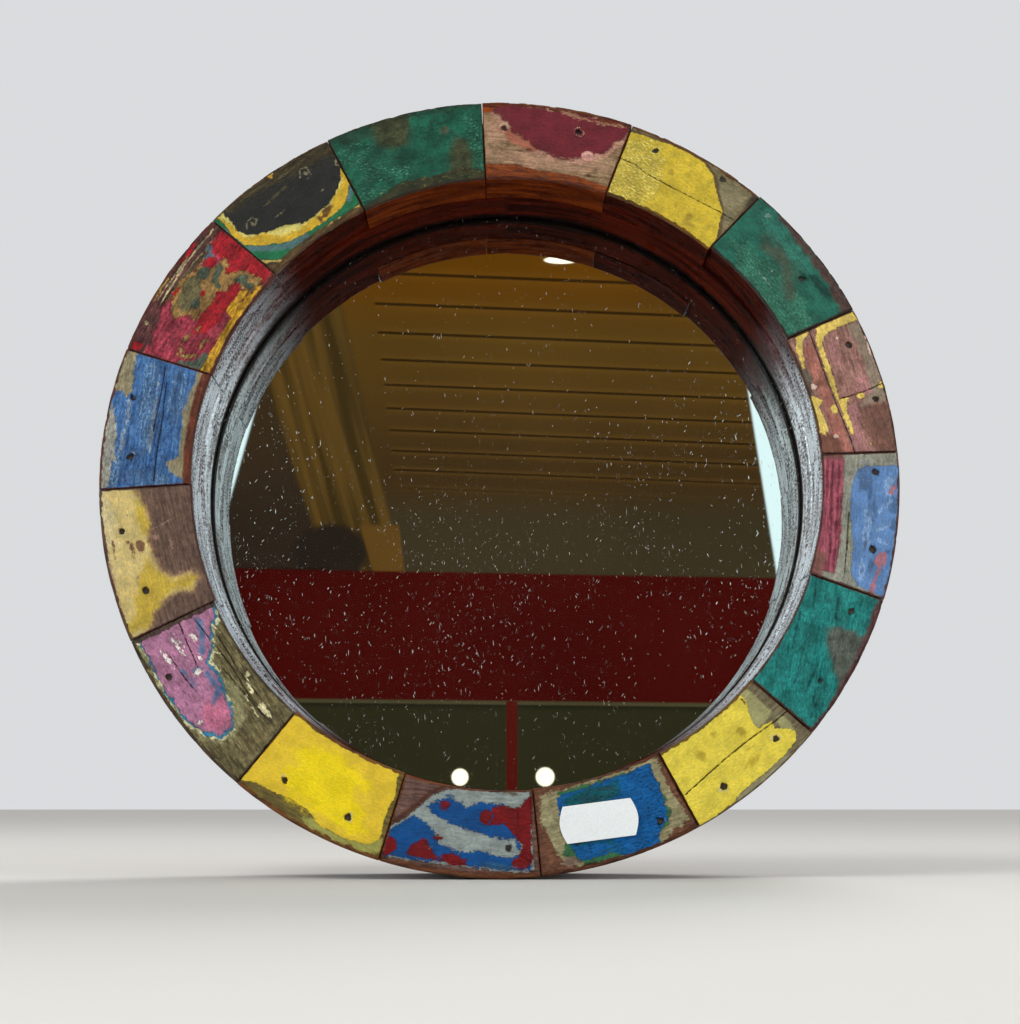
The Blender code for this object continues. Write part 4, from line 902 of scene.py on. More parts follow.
def between(first, last, spacing):
    """Stations from first to last, about spacing mm apart, leaving out the last."""
    steps = max(1, round(np.linalg.norm((last - first)[:2]) / spacing))
    return [tuple(first + (last - first) * step / steps) for step in range(steps)]


def outline_stations(corners, spacing):
    """Stations round a closed section, with every corner softened by a short chamfer."""
    stations = []
    for corner, after in zip(corners, corners[1:] + corners[:1]):
        corner = np.array(corner, float)
        reach = after - corner
        length = np.linalg.norm(reach[:2])
        soft = min(CHAMFER, length / 3)
        start = corner + reach * soft / length
        end = after - reach * soft / length
        stations += between(start, end, spacing)
        stations.append(tuple(end))
    return stations


# ---------------------------------------------------------------- materials

def linear(tone):
    """An sRGB colour out of 255 as linear RGBA."""
    parts = [value / 255 for value in tone]
    parts = [part / 12.92 if part <= 0.04045 else ((part + 0.055) / 1.055) ** 2.4 for part in parts]
    return (*parts, 1.0)


class Shader:
    """Builds one node material. Lengths along the grain attribute are in mm."""

    def __init__(self, name):
        self.material = bpy.data.materials.new(name)
        self.material.use_nodes = True
        self.tree = self.material.node_tree
        self.surface = self.tree.nodes["Principled BSDF"]

    def node(self, kind, inputs=(), output=0, **settings):
        made = self.tree.nodes.new(kind)
        for key, value in settings.items():
            setattr(made, key, value)
        for key, value in dict(inputs).items():
            self.plug(made.inputs[key], value)
        return made.outputs[output]

    def plug(self, socket, value):
        if isinstance(value, bpy.types.NodeSocket):
            self.tree.links.new(value, socket)
        else:
            socket.default_value = value

    def stored(self, name, output="Fac"):
        """What store() kept for each point under this name."""
        return self.node("ShaderNodeAttribute", output=output, attribute_name=name)

    def grain(self):
        return self.stored("grain", "Vector")

    def metres(self):
        return self.node("ShaderNodeTexCoord", output="Object")

    def millimetres(self):
        return self.scaled(self.metres(), 1000, 1000, 1000)

    def parts(self, place):
        """The three numbers of a vector, by name."""
        return self.node("ShaderNodeSeparateXYZ", {0: place}).node.outputs

    def vectors(self, operation, first, second, third=(0.0, 0.0, 0.0)):
        inputs = {0: first, 1: second, 2: third}
        return self.node("ShaderNodeVectorMath", inputs, operation=operation)

    def scaled(self, place, along, outward, depth):
        return self.vectors("MULTIPLY", place, (along, outward, depth))

    def noise(self, place, scale=1.0, detail=3.0, roughness=0.55, distortion=0.0):
        inputs = {"Vector": place, "Scale": scale, "Detail": detail, "Roughness": roughness,
                  "Distortion": distortion}
        return self.node("ShaderNodeTexNoise", inputs)

    def math(self, operation, first, second=0.0, third=0.0):
        inputs = {0: first, 1: second, 2: third}
        return self.node("ShaderNodeMath", inputs, operation=operation)

    def times(self, first, *others):
        for other in others:
            first = self.math("MULTIPLY", first, other)
        return first

    def times_plus(self, first, second, third):
        """first * second + third."""
        return self.math("MULTIPLY_ADD", first, second, third)

    def minus(self, first, second):
        return self.math("SUBTRACT", first, second)

    def outside(self, share):
        """1 where the share is 0, and 0 where it is 1."""
        return self.math("SUBTRACT", 1.0, share)

    def most(self, first, *others):
        for other in others:
            first = self.math("MAXIMUM", first, other)
        return first

    def size_of(self, value):
        return self.math("ABSOLUTE", value)

    def ramp(self, value, low, high, start=0.0, end=1.0):
        inputs = {"Value": value, "From Min": low, "From Max": high, "To Min": start, "To Max": end}
        return self.node("ShaderNodeMapRange", inputs, interpolation_type="SMOOTHSTEP")

    def mix(self, factor, first, second):
        inputs = {0: factor, 6: first, 7: second}
        return self.node("ShaderNodeMix", inputs, output=2, data_type="RGBA")

    def blend(self, factor, first, second):
        inputs = {0: factor, 2: first, 3: second}
        return self.node("ShaderNodeMix", inputs, data_type="FLOAT")

    def tones(self, factor, pair):
        return self.mix(factor, linear(pair[0]), linear(pair[1]))

    def brightened(self, colour, level):
        return self.node("ShaderNodeHueSaturation", {"Value": level, "Color": colour})

    def bump(self, height, distance):
        """Height is from 0 to 1, and distance is what 1 stands for, in metres."""
        return self.node("ShaderNodeBump", {"Strength": 1.0, "Distance": distance, "Height": height})

    def finish(self, **inputs):
        for key, value in inputs.items():
            self.plug(self.surface.inputs[key.replace("_", " ")], value)
        return self.material


MAHOGANY = ((82, 22, 7), (36, 8, 4))
WARM_MAHOGANY = ((128, 54, 14), (74, 24, 7))
WARM_BLOCKS = ("01", "16", "08", "09")
PORE = (22, 8, 6)
# Silver of the painted sheen on the well's sides, and the tint of the sheen layer.
SILVER_SHEEN = (236, 246, 255)
# Near-black of the painted shade at the lip of the well.
CREVICE_SHADE = (9, 5, 4)
DULL = 0.01  # specular level where the well mustn't shine
PAINT_SHINE = 0.12
VARNISH_SHINE = 0.5
DARK_GRAIN = (44, 30, 22)
DIRT = (40, 30, 22)
FLECK = (196, 190, 160)
# Dark of the painted shade along the cracks.
CRACK_SHADE = (40, 28, 18)
NAIL_RING = (206, 196, 168)
# Dark of the nails' holes: painted shade round a sunk head, and a darker spot where paint fills the hole.
NAIL_HOLE = ((30, 20, 15), (62, 42, 30))


def mahogany(shade, place, pair=MAHOGANY):
    """Colour, roughness and height of varnished mahogany, with its pores drawn out along the grain."""
    band = shade.noise(shade.scaled(place, 0.03, 0.35, 0.35), 1.0, 4.0, 0.6, 0.4)
    pores = shade.noise(shade.scaled(place, 0.35, 3.2, 3.2), 1.0, 3.0, 0.7)
    pore = shade.ramp(pores, 0.56, 0.68)
    tone = shade.tones(shade.ramp(band, 0.36, 0.62), pair)
    tone = shade.mix(shade.times(pore, 0.65), tone, linear(PORE))
    patches = shade.noise(place, 0.07, 3.0, 0.6)
    rough = shade.blend(pore, shade.ramp(patches, 0.3, 0.7, 0.2, 0.36), 0.5)
    height = shade.minus(shade.times(pores, 0.6), pore)
    return tone, rough, height


def varnish_sheen(shade):
    """Tint of the varnish's sheen: pale where the windows rake the sides, brown above and below."""
    sideways = shade.size_of(shade.parts(shade.metres())["X"])
    return shade.mix(shade.ramp(sideways, 0.06, 0.1), linear((150, 70, 40)), linear((250, 252, 255)))


def in_well(shade):
    """The point's separate coordinates, how far it is on the well's sides, and how far in the well.
    The sides end higher on the left than on the right."""
    place = shade.metres()
    parts = shade.parts(place)
    offset = shade.scaled(shade.vectors("SUBTRACT", place, (OPENING.x, 0, OPENING.z)), 1.0, 0.0, 1.0)
    radius = shade.node("ShaderNodeVectorMath", {0: offset}, output="Value", operation="LENGTH")
    inner = shade.ramp(radius, 0.124, 0.118)
    lifted = shade.ramp(parts["Z"], -0.02, 0.05, 0.0, 0.022)
    right = shade.ramp(parts["X"], 0.0, 0.02)
    lifted = shade.times_plus(shade.ramp(parts["Z"], 0.0, 0.05, 0.0, 0.02), right, lifted)
    side = shade.ramp(shade.minus(shade.size_of(parts["X"]), lifted), 0.052, 0.09)
    return parts, shade.times(side, inner), inner


def side_painted_sheen(shade, place, parts, side):
    """How far the raking windows' painted sheen, a silver highlight painted into the colour, lies on the
    brushed varnish: only on the well's two sides.
    """
    lip = glass_box[0].y - 4.2 * MM
    side = shade.times(side, shade.ramp(parts["Y"], lip + 0.8 * MM, lip - 0.8 * MM),
                       shade.ramp(parts["Y"], FRONT + 6 * MM, lip, 1.3, 0.75))
    bands = shade.ramp(shade.noise(shade.scaled(place, 0.04, 0.2, 0.2), 1.0, 3.0, 0.6), 0.38, 0.58, 0.4, 1.0)
    speckle = shade.ramp(shade.noise(shade.scaled(place, 1.5, 0.55, 0.55), 1.0, 3.0, 0.8), 0.43, 0.57)
    speckle = shade.most(speckle, shade.ramp(bands, 0.8, 1.0, 0.0, 0.55))
    return shade.times(side, shade.times(bands, speckle))


def with_painted_sheen(shade, colour, painted_sheen, well, dull):
    """A varnished colour under its painted sheen, a silver highlight painted into the colour, and its
    specular level: none in the well but for the painted sheen.
    """
    colour = shade.mix(shade.math("MINIMUM", painted_sheen, 1.0), colour, linear(SILVER_SHEEN))
    shine = shade.blend(well, VARNISH_SHINE, shade.ramp(painted_sheen, 0.0, 0.8, 0.1, 1.0))
    return colour, shade.blend(dull, shine, DULL)


# The sheen layer follows the mask of the painted sheen.
def finish_with_painted_sheen(shade, colour, rough, normal, level, tint, painted_sheen):
    return shade.finish(Base_Color=colour, Roughness=rough, Normal=normal, Specular_IOR_Level=level,
                        Specular_Tint=tint, Sheen_Weight=painted_sheen, Sheen_Roughness=0.35,
                        Sheen_Tint=linear(SILVER_SHEEN))


Grain = namedtuple("Grain", "streaks threads bristle patches mottle grit streak cloud")


def wood_grain(shade, place, tilt):
    """The noises that a block's paint and wood share. The first three run along its tilted grain."""
    turned_place = shade.node("ShaderNodeVectorRotate", {"Vector": place, "Angle": -math.radians(tilt)})
    streaks = shade.noise(shade.scaled(turned_place, 0.13, 1.0, 0.5), 1.0, 4.0, 0.65, 0.4)
    threads = shade.noise(shade.scaled(turned_place, 0.3, 2.3, 1.0), 1.0, 3.0, 0.65, 0.3)
    bristle = shade.noise(shade.scaled(turned_place, 0.8, 1.7, 1.0), 1.0, 4.0, 0.7)
    patches = shade.noise(place, 0.16, 3.0, 0.6)
    mottle = shade.noise(place, 0.6, 4.0, 0.65)
    grit = shade.noise(place, 2.0, 3.0, 0.65)
    return Grain(streaks, threads, bristle, patches, mottle, grit,
                 shade.ramp(streaks, 0.36, 0.64), shade.ramp(mottle, 0.36, 0.64))


def paint_coats(shade, plan, grain):
    """Colour, roughness and height of bare wood with each coat over it, broken up by bristle marks."""
    colour = shade.tones(grain.streak, plan.wood)
    colour = shade.mix(shade.ramp(grain.threads, 0.54, 0.7, 0.0, 0.5), colour, linear(DARK_GRAIN))
    rough = 0.6
    height = shade.times(grain.threads, 0.5)
    for number, layer in enumerate(plan.coats):
        reach = 0.5 + 2.4 * layer.broken
        fray = shade.times_plus(grain.bristle, reach, -0.5 * reach)
        fray = shade.times_plus(grain.grit, 0.7, shade.minus(fray, 0.35))
        edge = shade.math("ADD", shade.math("MINIMUM", shade.stored(f"coat_{number}"), layer.sparse), fray)
        cover = shade.ramp(edge, -layer.soft, layer.soft)
        tone = shade.tones(shade.blend(layer.streak, grain.cloud, grain.streak), layer.tones)
        colour = shade.mix(cover, colour, tone)
        rough = shade.blend(cover, rough, layer.gloss)
        if layer.thick > 0:
            height = shade.times_plus(cover, 0.6 * layer.thick / 0.14, height)
    return colour, rough, height


def weathered(shade, plan, grain, place, colour, height):
    """Open grain, uneven brightness, pale flecks and dirt."""
    groove = shade.times(shade.ramp(grain.threads, 0.58, 0.68), plan.grooves)
    colour = shade.mix(groove, colour, shade.brightened(colour, 0.4))
    height = shade.minus(height, groove)
    levels = [shade.ramp(part, 0.3, 0.7, 1 - plan.mottle, 1 + plan.mottle)
              for part in (grain.patches, grain.mottle, grain.bristle)]
    colour = shade.vectors("MULTIPLY", shade.brightened(colour, shade.times(*levels)), plan.tint)
    wear = shade.ramp(shade.noise(shade.scaled(place, 0.7, 1.4, 1.0), 1.0, 4.0, 0.75), 0.63, 0.7)
    colour = shade.mix(shade.times(wear, plan.flecks), colour, linear(FLECK))
    dirt = shade.ramp(shade.noise(place, 0.9, 4.0, 0.75), 0.6, 0.72, 0.0, 0.7)
    dirt = shade.times(dirt, shade.ramp(grain.patches, 0.4, 0.65))
    return shade.mix(dirt, colour, linear(DIRT)), height


def cracked(shade, plan, grain, colour, height):
    """Cracks of uneven width and the nails' holes, both darkened with painted shade, with the worn rings
    round the holes.
    """
    for number in range(len(plan.cracks)):
        # Painted shade: each crack is darkened along its line, over the shallow groove cut in the face.
        off = shade.minus(shade.stored(f"crack_{number}"), 0.25)
        off = shade.times_plus(grain.bristle, 0.5, off)
        width = shade.ramp(grain.mottle, 0.38, 0.62, 0.04, 0.4)
        crack = shade.ramp(shade.math("DIVIDE", shade.size_of(off), width), 1.0, 0.4, 0.0, 0.9)
        colour = shade.mix(crack, colour, linear(CRACK_SHADE))
        height = shade.minus(height, crack)
    ring = shade.times(shade.stored("ring"), shade.ramp(grain.grit, 0.3, 0.6))
    colour = shade.mix(shade.ramp(ring, 0.15, 0.5), colour, linear(NAIL_RING))
    # Painted shade round each sunk nail head in its open hole; where paint fills the hole, the same dark tone
    # makes a darker spot.
    hole = shade.math("ADD", shade.stored("hole"), shade.times_plus(grain.bristle, 0.6, -0.3))
    hole_tone = shade.tones(grain.cloud, NAIL_HOLE)
    return shade.mix(shade.ramp(hole, 0.15, 0.6, 0.0, 0.9), colour, hole_tone), height


def painted_wood(label, plan):
    """Old paint in worn layers over wood: each coat shows where its stored distance is above zero."""
    shade = Shader(f"painted_wood_{label}")
    place = shade.grain()
    grain = wood_grain(shade, place, plan.tilt)
    colour, rough, height = paint_coats(shade, plan, grain)
    colour, height = weathered(shade, plan, grain, place, colour, height)
    colour, height = cracked(shade, plan, grain, colour, height)
    margin = shade.times_plus(shade.minus(grain.bristle, 0.5), 0.9, shade.stored("varnish"))
    margin = shade.ramp(margin, 0.25, 0.7)
    colour = shade.mix(shade.times(margin, 0.94), colour, shade.tones(grain.streak, plan.rim_tone))
    rough = shade.blend(margin, rough, 0.3)
    wall = shade.stored("wall")
    wall_place = shade.scaled(place, 1.0, 0.0, 1.0)
    pair = WARM_MAHOGANY if label in WARM_BLOCKS else MAHOGANY
    wall_tone, wall_rough, wall_height = mahogany(shade, wall_place, pair)
    rough = shade.blend(wall, rough, wall_rough)
    height = shade.times_plus(grain.grit, 0.9, shade.blend(wall, height, wall_height))
    normal = shade.bump(height, 0.0004 + 0.0012 * plan.rough)
    well = shade.stored("well")
    parts, side = in_well(shade)[:2]
    # Painted sheen: the raking windows' silver highlight, painted into the colour of the well's side walls.
    painted_sheen = shade.times(well, side_painted_sheen(shade, wall_place, parts, side))
    dull = shade.times(well, shade.outside(side))
    colour, level = with_painted_sheen(shade, shade.mix(wall, colour, wall_tone), painted_sheen, well, dull)
    level = shade.blend(wall, PAINT_SHINE, level)
    tint = shade.mix(wall, (1, 1, 1, 1), varnish_sheen(shade))
    return finish_with_painted_sheen(shade, colour, rough, normal, level, tint, painted_sheen)


def varnished_ring():
    """Turned mahogany, with painted shade: a near-black line where the lip of the well meets the glass."""
    shade = Shader("mahogany_varnish")
    place = shade.grain()
    tone, rough, height = mahogany(shade, place)
    lines = shade.noise(shade.scaled(place, 0.01, 1.6, 1.6), 1.0, 2.0, 0.5)
    normal = shade.bump(shade.times_plus(lines, 1.4, height), 0.0002)
    parts, side, inner = in_well(shade)
    glass = glass_box[0].y
    # Painted shade: near-black where the lip meets the glass, with no shine there.
    crevice_shade = shade.times(shade.ramp(parts["Y"], glass - 4.6 * MM, glass - 3.2 * MM, 0.0, 0.95),
                          shade.ramp(parts["Y"], glass + MM, glass), inner)
    # Painted sheen: the raking windows' silver highlight, painted into the colour on the well's sides.
    painted_sheen = side_painted_sheen(shade, place, parts, side)
    dull = shade.most(crevice_shade, shade.minus(inner, side))
    tone, level = with_painted_sheen(shade, tone, painted_sheen, side, dull)
    tone = shade.mix(crevice_shade, tone, linear(CREVICE_SHADE))
    return finish_with_painted_sheen(shade, tone, rough, normal, level, varnish_sheen(shade), painted_sheen)


def dust_strokes(shade, flat, lean, wide, long, share):
    """Short strokes of dust, in mm, at most one to a cell: share is how many cells have one."""
    leaning = shade.node("ShaderNodeVectorRotate", {"Vector": flat, "Angle": math.radians(lean)},
                         rotation_type="Z_AXIS")
    cells = shade.scaled(leaning, 0.25 / wide, 0.25 / long, 1.0)
    bent = shade.node("ShaderNodeTexNoise", {"Vector": cells, "Scale": 1.7, "Detail": 1.0}, output="Color")
    cells = shade.vectors("MULTIPLY_ADD", bent, (0.5, 0.5, 0.0), cells)
    near = shade.node("ShaderNodeTexVoronoi", {"Vector": cells, "Scale": 1.0}, output="Distance",
                      voronoi_dimensions="2D")
    draws = shade.node("ShaderNodeSeparateColor", {0: near.node.outputs["Color"]}).node.outputs
    kept = shade.math("LESS_THAN", draws["Red"], share)
    return shade.times(kept, shade.ramp(draws["Green"], 0.1, 1.1, 0.15, 1.0), shade.ramp(near, 0.15, 0.05))


def silvering():
    """Mirror silvering with dust lying in short strokes and specks, thicker towards the bottom."""
    shade = Shader("mirror_silver")
    place = shade.millimetres()
    parts = shade.parts(place)
    flat = shade.node("ShaderNodeCombineXYZ", {0: parts["X"], 1: parts["Z"]})
    share = shade.times(shade.ramp(shade.noise(place, 0.03, 2.0, 0.5), 0.3, 0.7, 0.04, 0.24),
                        shade.ramp(parts["Z"], -40, 60, 1.0, 0.55))
    strokes = [dust_strokes(shade, flat, lean, wide, long, share) for lean, wide, long in (
        (0, 0.26, 0.36), (-24, 0.2, 1.3), (35, 0.2, 1.5), (-4, 0.2, 2.0))]
    soiled = shade.most(shade.times(shade.most(*strokes), 0.35), 0.005)
    colour = shade.mix(soiled, linear((214, 218, 214)), linear((226, 214, 192)))
    rough = shade.ramp(soiled, 0.0, 0.6, 0.012, 0.6)
    return shade.finish(Base_Color=colour, Metallic=shade.outside(soiled), Roughness=rough)


def rusty_steel():
    shade = Shader("rusted_nail_steel")
    place = shade.millimetres()
    rust = shade.ramp(shade.noise(place, 1.4, 5.0, 0.7), 0.42, 0.6)
    normal = shade.bump(shade.noise(place, 3.5, 4.0, 0.7), 0.0002)
    return shade.finish(Base_Color=shade.tones(rust, ((72, 62, 56), (58, 32, 20))), Normal=normal,
                        Roughness=shade.blend(rust, 0.42, 0.85), Metallic=shade.blend(rust, 0.8, 0.1))


def zinc_steel():
    shade = Shader("zinc_plated_steel")
    place = shade.millimetres()
    brushed = shade.noise(shade.scaled(place, 4.0, 4.0, 0.3), 1.0, 3.0, 0.6)
    bloom = shade.ramp(shade.noise(place, 0.5, 4.0, 0.65), 0.45, 0.7)
    rough = shade.blend(bloom, shade.times_plus(brushed, 0.2, 0.22), 0.5)
    return shade.finish(Base_Color=shade.tones(bloom, ((206, 206, 202), (170, 168, 158))),
                        Roughness=rough, Metallic=1.0, Normal=shade.bump(brushed, 0.00004))


def hardboard():
    """Pressed fibre board: short fibres, darker clots and the net of its press on the rough side."""
    shade = Shader("back_hardboard")
    place = shade.millimetres()
    fibres = shade.noise(shade.scaled(place, 0.5, 1.0, 2.2), 1.0, 5.0, 0.7, 1.2)
    clots = shade.ramp(shade.noise(place, 0.6, 3.0, 0.6), 0.6, 0.75, 0.0, 0.7)
    colour = shade.tones(shade.ramp(fibres, 0.35, 0.65), ((146, 104, 66), (112, 76, 46)))
    colour = shade.mix(clots, colour, linear((82, 54, 34)))
    parts = shade.parts(place)
    net = [shade.math("SINE", shade.times(parts[name], 3.9)) for name in "XZ"]
    normal = shade.bump(shade.times_plus(shade.times(*net), 0.5, fibres), 0.0002)
    return shade.finish(Base_Color=colour, Roughness=0.8, Normal=normal)


def label_paper():
    shade = Shader("label_paper")
    place = shade.millimetres()
    fibres = shade.noise(place, 2.2, 4.0, 0.6)
    scuffs = shade.ramp(shade.noise(place, 0.35, 3.0, 0.6), 0.55, 0.75, 0.0, 0.35)
    colour = shade.tones(shade.ramp(fibres, 0.35, 0.65), ((243, 246, 246), (233, 237, 238)))
    colour = shade.mix(scuffs, colour, linear((222, 224, 222)))
    return shade.finish(Base_Color=colour, Roughness=0.5, Normal=shade.bump(fibres, 0.00004))


# ---------------------------------------------------------------- the other pieces

def in_mm(node):
    low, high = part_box(node)
    return low / MM, high / MM


def half_width(node):
    low, high = in_mm(node)
    return (high.x - low.x) / 2


def make_base_ring():
    low, high = in_mm("base_ring")
    glass_low, glass_high = in_mm("mirror_glass")
    gap = 0.3
    rim, front, rear = high.x, low.y, high.y
    glass = half_width("mirror_glass") + gap
    board = half_width("back_board") + gap
    bore = Wedge("01").bore
    lip = glass_low.y - gap
    shoulder = glass_high.y
    corners = [(rim, front, 0), (rim, rear - 0.5, 0), (rim - 0.6, rear, 0), (board, rear, 1),
               (board, shoulder, 1), (glass, shoulder, 1), (glass, lip, 1), (bore + 1.6, lip, 1),
               (bore, lip - 1.3, 1), (bore, front + 0.6, 1), (bore + 0.7, front, 1)]
    turned("turned_ring", outline_stations(corners, 1.1), RING_TURNS, 0.07, varnished_ring(),
           "frame_mahogany", "base_ring", seed=71)


def make_mirror():
    low, high = in_mm("mirror_glass")
    radius = half_width("mirror_glass")
    stations = [(radius * part, low.y, 1) for part in (0.02, 0.1, 0.25, 0.5, 0.75, 0.9, 0.97)]
    stations += [(radius - ARRIS, low.y, 1), (radius - 0.15, low.y + 0.15, 1), (radius, low.y + ARRIS, 1),
                 (radius, high.y - ARRIS, 1), (radius - ARRIS, high.y, 1), (radius * 0.5, high.y, 1)]
    turned("mirror_plate", stations, PLATE_TURNS, 0.0, silvering(), "mirror_silver", "mirror_glass",
           closed=False)


def make_back_board():
    low, high = in_mm("back_board")
    radius = half_width("back_board")
    stations = [(1, low.y, 1), (radius - ARRIS, low.y, 1), (radius, low.y + ARRIS, 1),
                (radius, high.y - ARRIS, 1), (radius - 0.2, high.y - 0.15, 1), (radius - ARRIS, high.y, 1)]
    stations += [(radius * part, high.y, 1) for part in (0.95, 0.8, 0.6, 0.4, 0.2, 0.01)]
    turned("fibre_back_board", stations, PLATE_TURNS, 0.12, hardboard(), "back_hardboard", "back_board",
           closed=False, seed=83)


def on_axis(name, node, rings, turns, material, slot, dish):
    """A small turned piece along Y about its CAD node's middle. Rings are (radius, depth), and dish
    says how far a point moves in or out."""
    low, high = in_mm(node)
    middle = (low + high) / 2
    points = []
    for radius, depth in rings:
        for turn in np.arange(turns) * 2 * math.pi / turns:
            x, z = radius * math.sin(turn), radius * math.cos(turn)
            points.append((middle.x + x, depth + dish(x, z, depth), middle.z + z))
    faces = lofted_faces(len(rings), turns, False)
    new_piece(name, np.array(points) * MM, faces, material, slot, node)


def make_nail(label, letter, steel):
    """A cut nail's head, battered and a little dished, on its shank."""
    node = f"nail_{label}_{letter}"
    low, high = in_mm(node)
    head = half_width(node)
    seed = int(label) * 10 + (letter == "b")

    def dish(x, z, depth):
        if depth > low.y + 0.4:
            return 0.0
        dents = noise(np.array([[x * 1.4, z * 1.4, seed]]), 500)[0]
        return 0.13 * dents + 0.12 * (math.hypot(x, z) / head < 0.55)

    rings = [(head * part, low.y + 0.08) for part in (0.06, 0.3, 0.5, 0.68, 0.86)]
    rings += [(head * 0.97, low.y + 0.2), (head, low.y + 0.45), (head * 0.9, low.y + 0.8),
              (0.8, low.y + 0.85), (0.8, high.y - 2.4), (0.3, high.y - 0.4), (0.05, high.y)]
    on_axis(f"sunk_{node}", node, rings, 24, steel, "nail_steel", dish)


def make_screw(node, steel):
    """A domed screw with a cross recess, its head towards the wall."""
    low, high = in_mm(node)
    head = half_width(node)
    rise = head * 0.5
    seat = high.y - rise
    shank = head * 0.48
    pitch = 0.55

    def recess(x, z, depth):
        if depth < seat + 0.2 * rise:
            return 0.0
        arm = min(max(abs(x), abs(z)) / (0.62 * head), 1.0)
        slot_width = 0.13 * head * (1.15 - arm)
        inside = 1 - smooth(0.6 * slot_width, 1.3 * slot_width, min(abs(x), abs(z)))
        return -0.8 * rise * float(inside) * (1 - arm**2)

    rings = [(0.04, low.y), (shank * 0.5, low.y + 1.2), (shank, low.y + 2.4)]
    for turn in range(max(int((seat - low.y - 2.8) / pitch), 1)):
        depth = low.y + 2.5 + turn * pitch
        rings += [(shank, depth), (shank * 1.12, depth + pitch * 0.3), (shank * 0.9, depth + pitch * 0.7)]
    rings += [(shank, seat - 0.1), (head * 0.96, seat), (head, seat + 0.12 * rise)]
    for step in range(1, 17):
        part = 1 - step / 16.5
        rings.append((head * part, seat + rise * (0.2 + 0.8 * math.sqrt(1 - (0.97 * part) ** 2))))
    on_axis(f"pan_{node}", node, rings, 48, steel, "zinc_steel", recess)


def swept(name, path, section, closed, material, replaced, body):
    """A section of (side, normal) points carried along a path of (point, side, normal) frames, in mm."""
    points = []
    for centre, side, normal in path:
        for across, out in section:
            points.append(Vector(centre) + Vector(side) * across + Vector(normal) * out)
    faces = lofted_faces(len(path), len(section), closed)
    new_piece(name, np.array(points) * MM, faces, material, "zinc_steel", replaced, body)


def ring_line(half, drop):
    """Points (x, z) round the D-ring's wire from its pin: a straight top, bent corners, a half circle."""
    bend = 1.2
    corner = []
    for step in range(9):
        turn = math.radians(90 - 90 * step / 8)
        corner.append((half - bend + bend * math.cos(turn), bend * math.sin(turn) - bend))
    bow = []
    for step in range(41):
        turn = math.radians(-180 * step / 40)
        bow.append((half * math.cos(turn), half * math.sin(turn) - drop))
    return corner + bow + [(-x, z) for x, z in corner[::-1]]


def make_ring(steel, wire, pin_y, pin_z):
    low, high = in_mm("hanger_ring")
    half = (high.x - low.x) / 2 - wire
    line_points = ring_line(half, pin_z - low.z - wire - half)
    across = Vector((0, 1, 0))
    path = []
    for index, (x, z) in enumerate(line_points):
        before, after = line_points[index - 1], line_points[(index + 1) % len(line_points)]
        along = Vector((after[0] - before[0], 0, after[1] - before[1])).normalized()
        path.append(((x, pin_y, pin_z + z), across, along.cross(across)))
    turns = np.linspace(0, 2 * math.pi, 21)[:-1]
    round_wire = [(wire * math.cos(turn), wire * math.sin(turn)) for turn in turns]
    swept("d_ring", path, round_wire, True, steel, "hanger_ring", "hanger_ring")


def make_strap(steel, wire, pin_y, pin_z):
    """The strap: a flat leaf with soft corners, curled round the ring's straight top."""
    low, high = in_mm("hanger_strap")
    thick = 0.8
    corner = 0.25
    curl = wire + 0.3 + thick / 2
    wide = (high.x - low.x) / 2
    section = []
    for across, out in ((1, 1), (-1, 1), (-1, -1), (1, -1)):
        for step in range(4):
            turn = math.atan2(out, across) - math.pi / 4 + step * math.pi / 6
            section.append((across * (wide - corner) + corner * math.cos(turn),
                            out * (thick / 2 - corner) + corner * math.sin(turn)))
    path = [((0, pin_y - curl, low.z + (pin_z - low.z) * step / 12), (1, 0, 0), (0, 1, 0))
            for step in range(12)]
    for step in range(37):
        turn = math.radians(180 - 250 * step / 36)
        outward = Vector((0, math.cos(turn), math.sin(turn)))
        path.append((Vector((0, pin_y, pin_z)) + outward * curl, (1, 0, 0), -outward))
    swept("strap", path, section, False, steel, "hanger_strap", BODY)


def make_hanger(steel):
    low, high = in_mm("hanger_ring")
    wire = (high.y - low.y) / 2
    pin_y = (high.y + low.y) / 2
    pin_z = high.z - wire
    make_ring(steel, wire, pin_y, pin_z)
    make_strap(steel, wire, pin_y, pin_z)


def make_label():
    """The blank price-gun label: short ends that bulge, corners that lift a little."""
    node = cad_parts["price_label"]
    corners = np.array([vert.co for vert in node.data.vertices]) / MM
    centre = (corners.max(axis=0) + corners.min(axis=0)) / 2
    cos, sin = math.cos(LABEL_TILT), math.sin(LABEL_TILT)
    flat = corners - centre
    half_length = (flat[:, 0] * cos + flat[:, 2] * sin).max()
    half_height = (flat[:, 2] * cos - flat[:, 0] * sin).max()
    rear = corners[:, 1].max()
    thick, bulge = 0.16, 1.7
    columns, rows = 53, 25
    sheet = []
    for front in (thick, 0.0):
        for row in range(rows):
            z = half_height * (2 * row / (rows - 1) - 1)
            reach = half_length - bulge + bulge * math.cos(math.pi * z / (2 * half_height))
            for column in range(columns):
                x = reach * (2 * column / (columns - 1) - 1)
                lift = 0.32 * (abs(x) / half_length) ** 6 * (abs(z) / half_height) ** 2
                lift += 0.05 * (1 + noise(np.array([[x / 4, z / 4, 2.0]]), 900)[0])
                y = rear - lift - front
                sheet.append((centre[0] + x * cos - z * sin, y, centre[2] + x * sin + z * cos))
    quads, border = grid_faces(columns, rows)
    behind = columns * rows
    faces = quads + [[behind + index for index in quad[::-1]] for quad in quads]
    faces += loop_faces([index + behind for index in border], border)
    new_piece("blank_label", np.array(sheet) * MM, faces, label_paper(), "label_paper", "price_label")


# ---------------------------------------------------------------- stage, light and camera

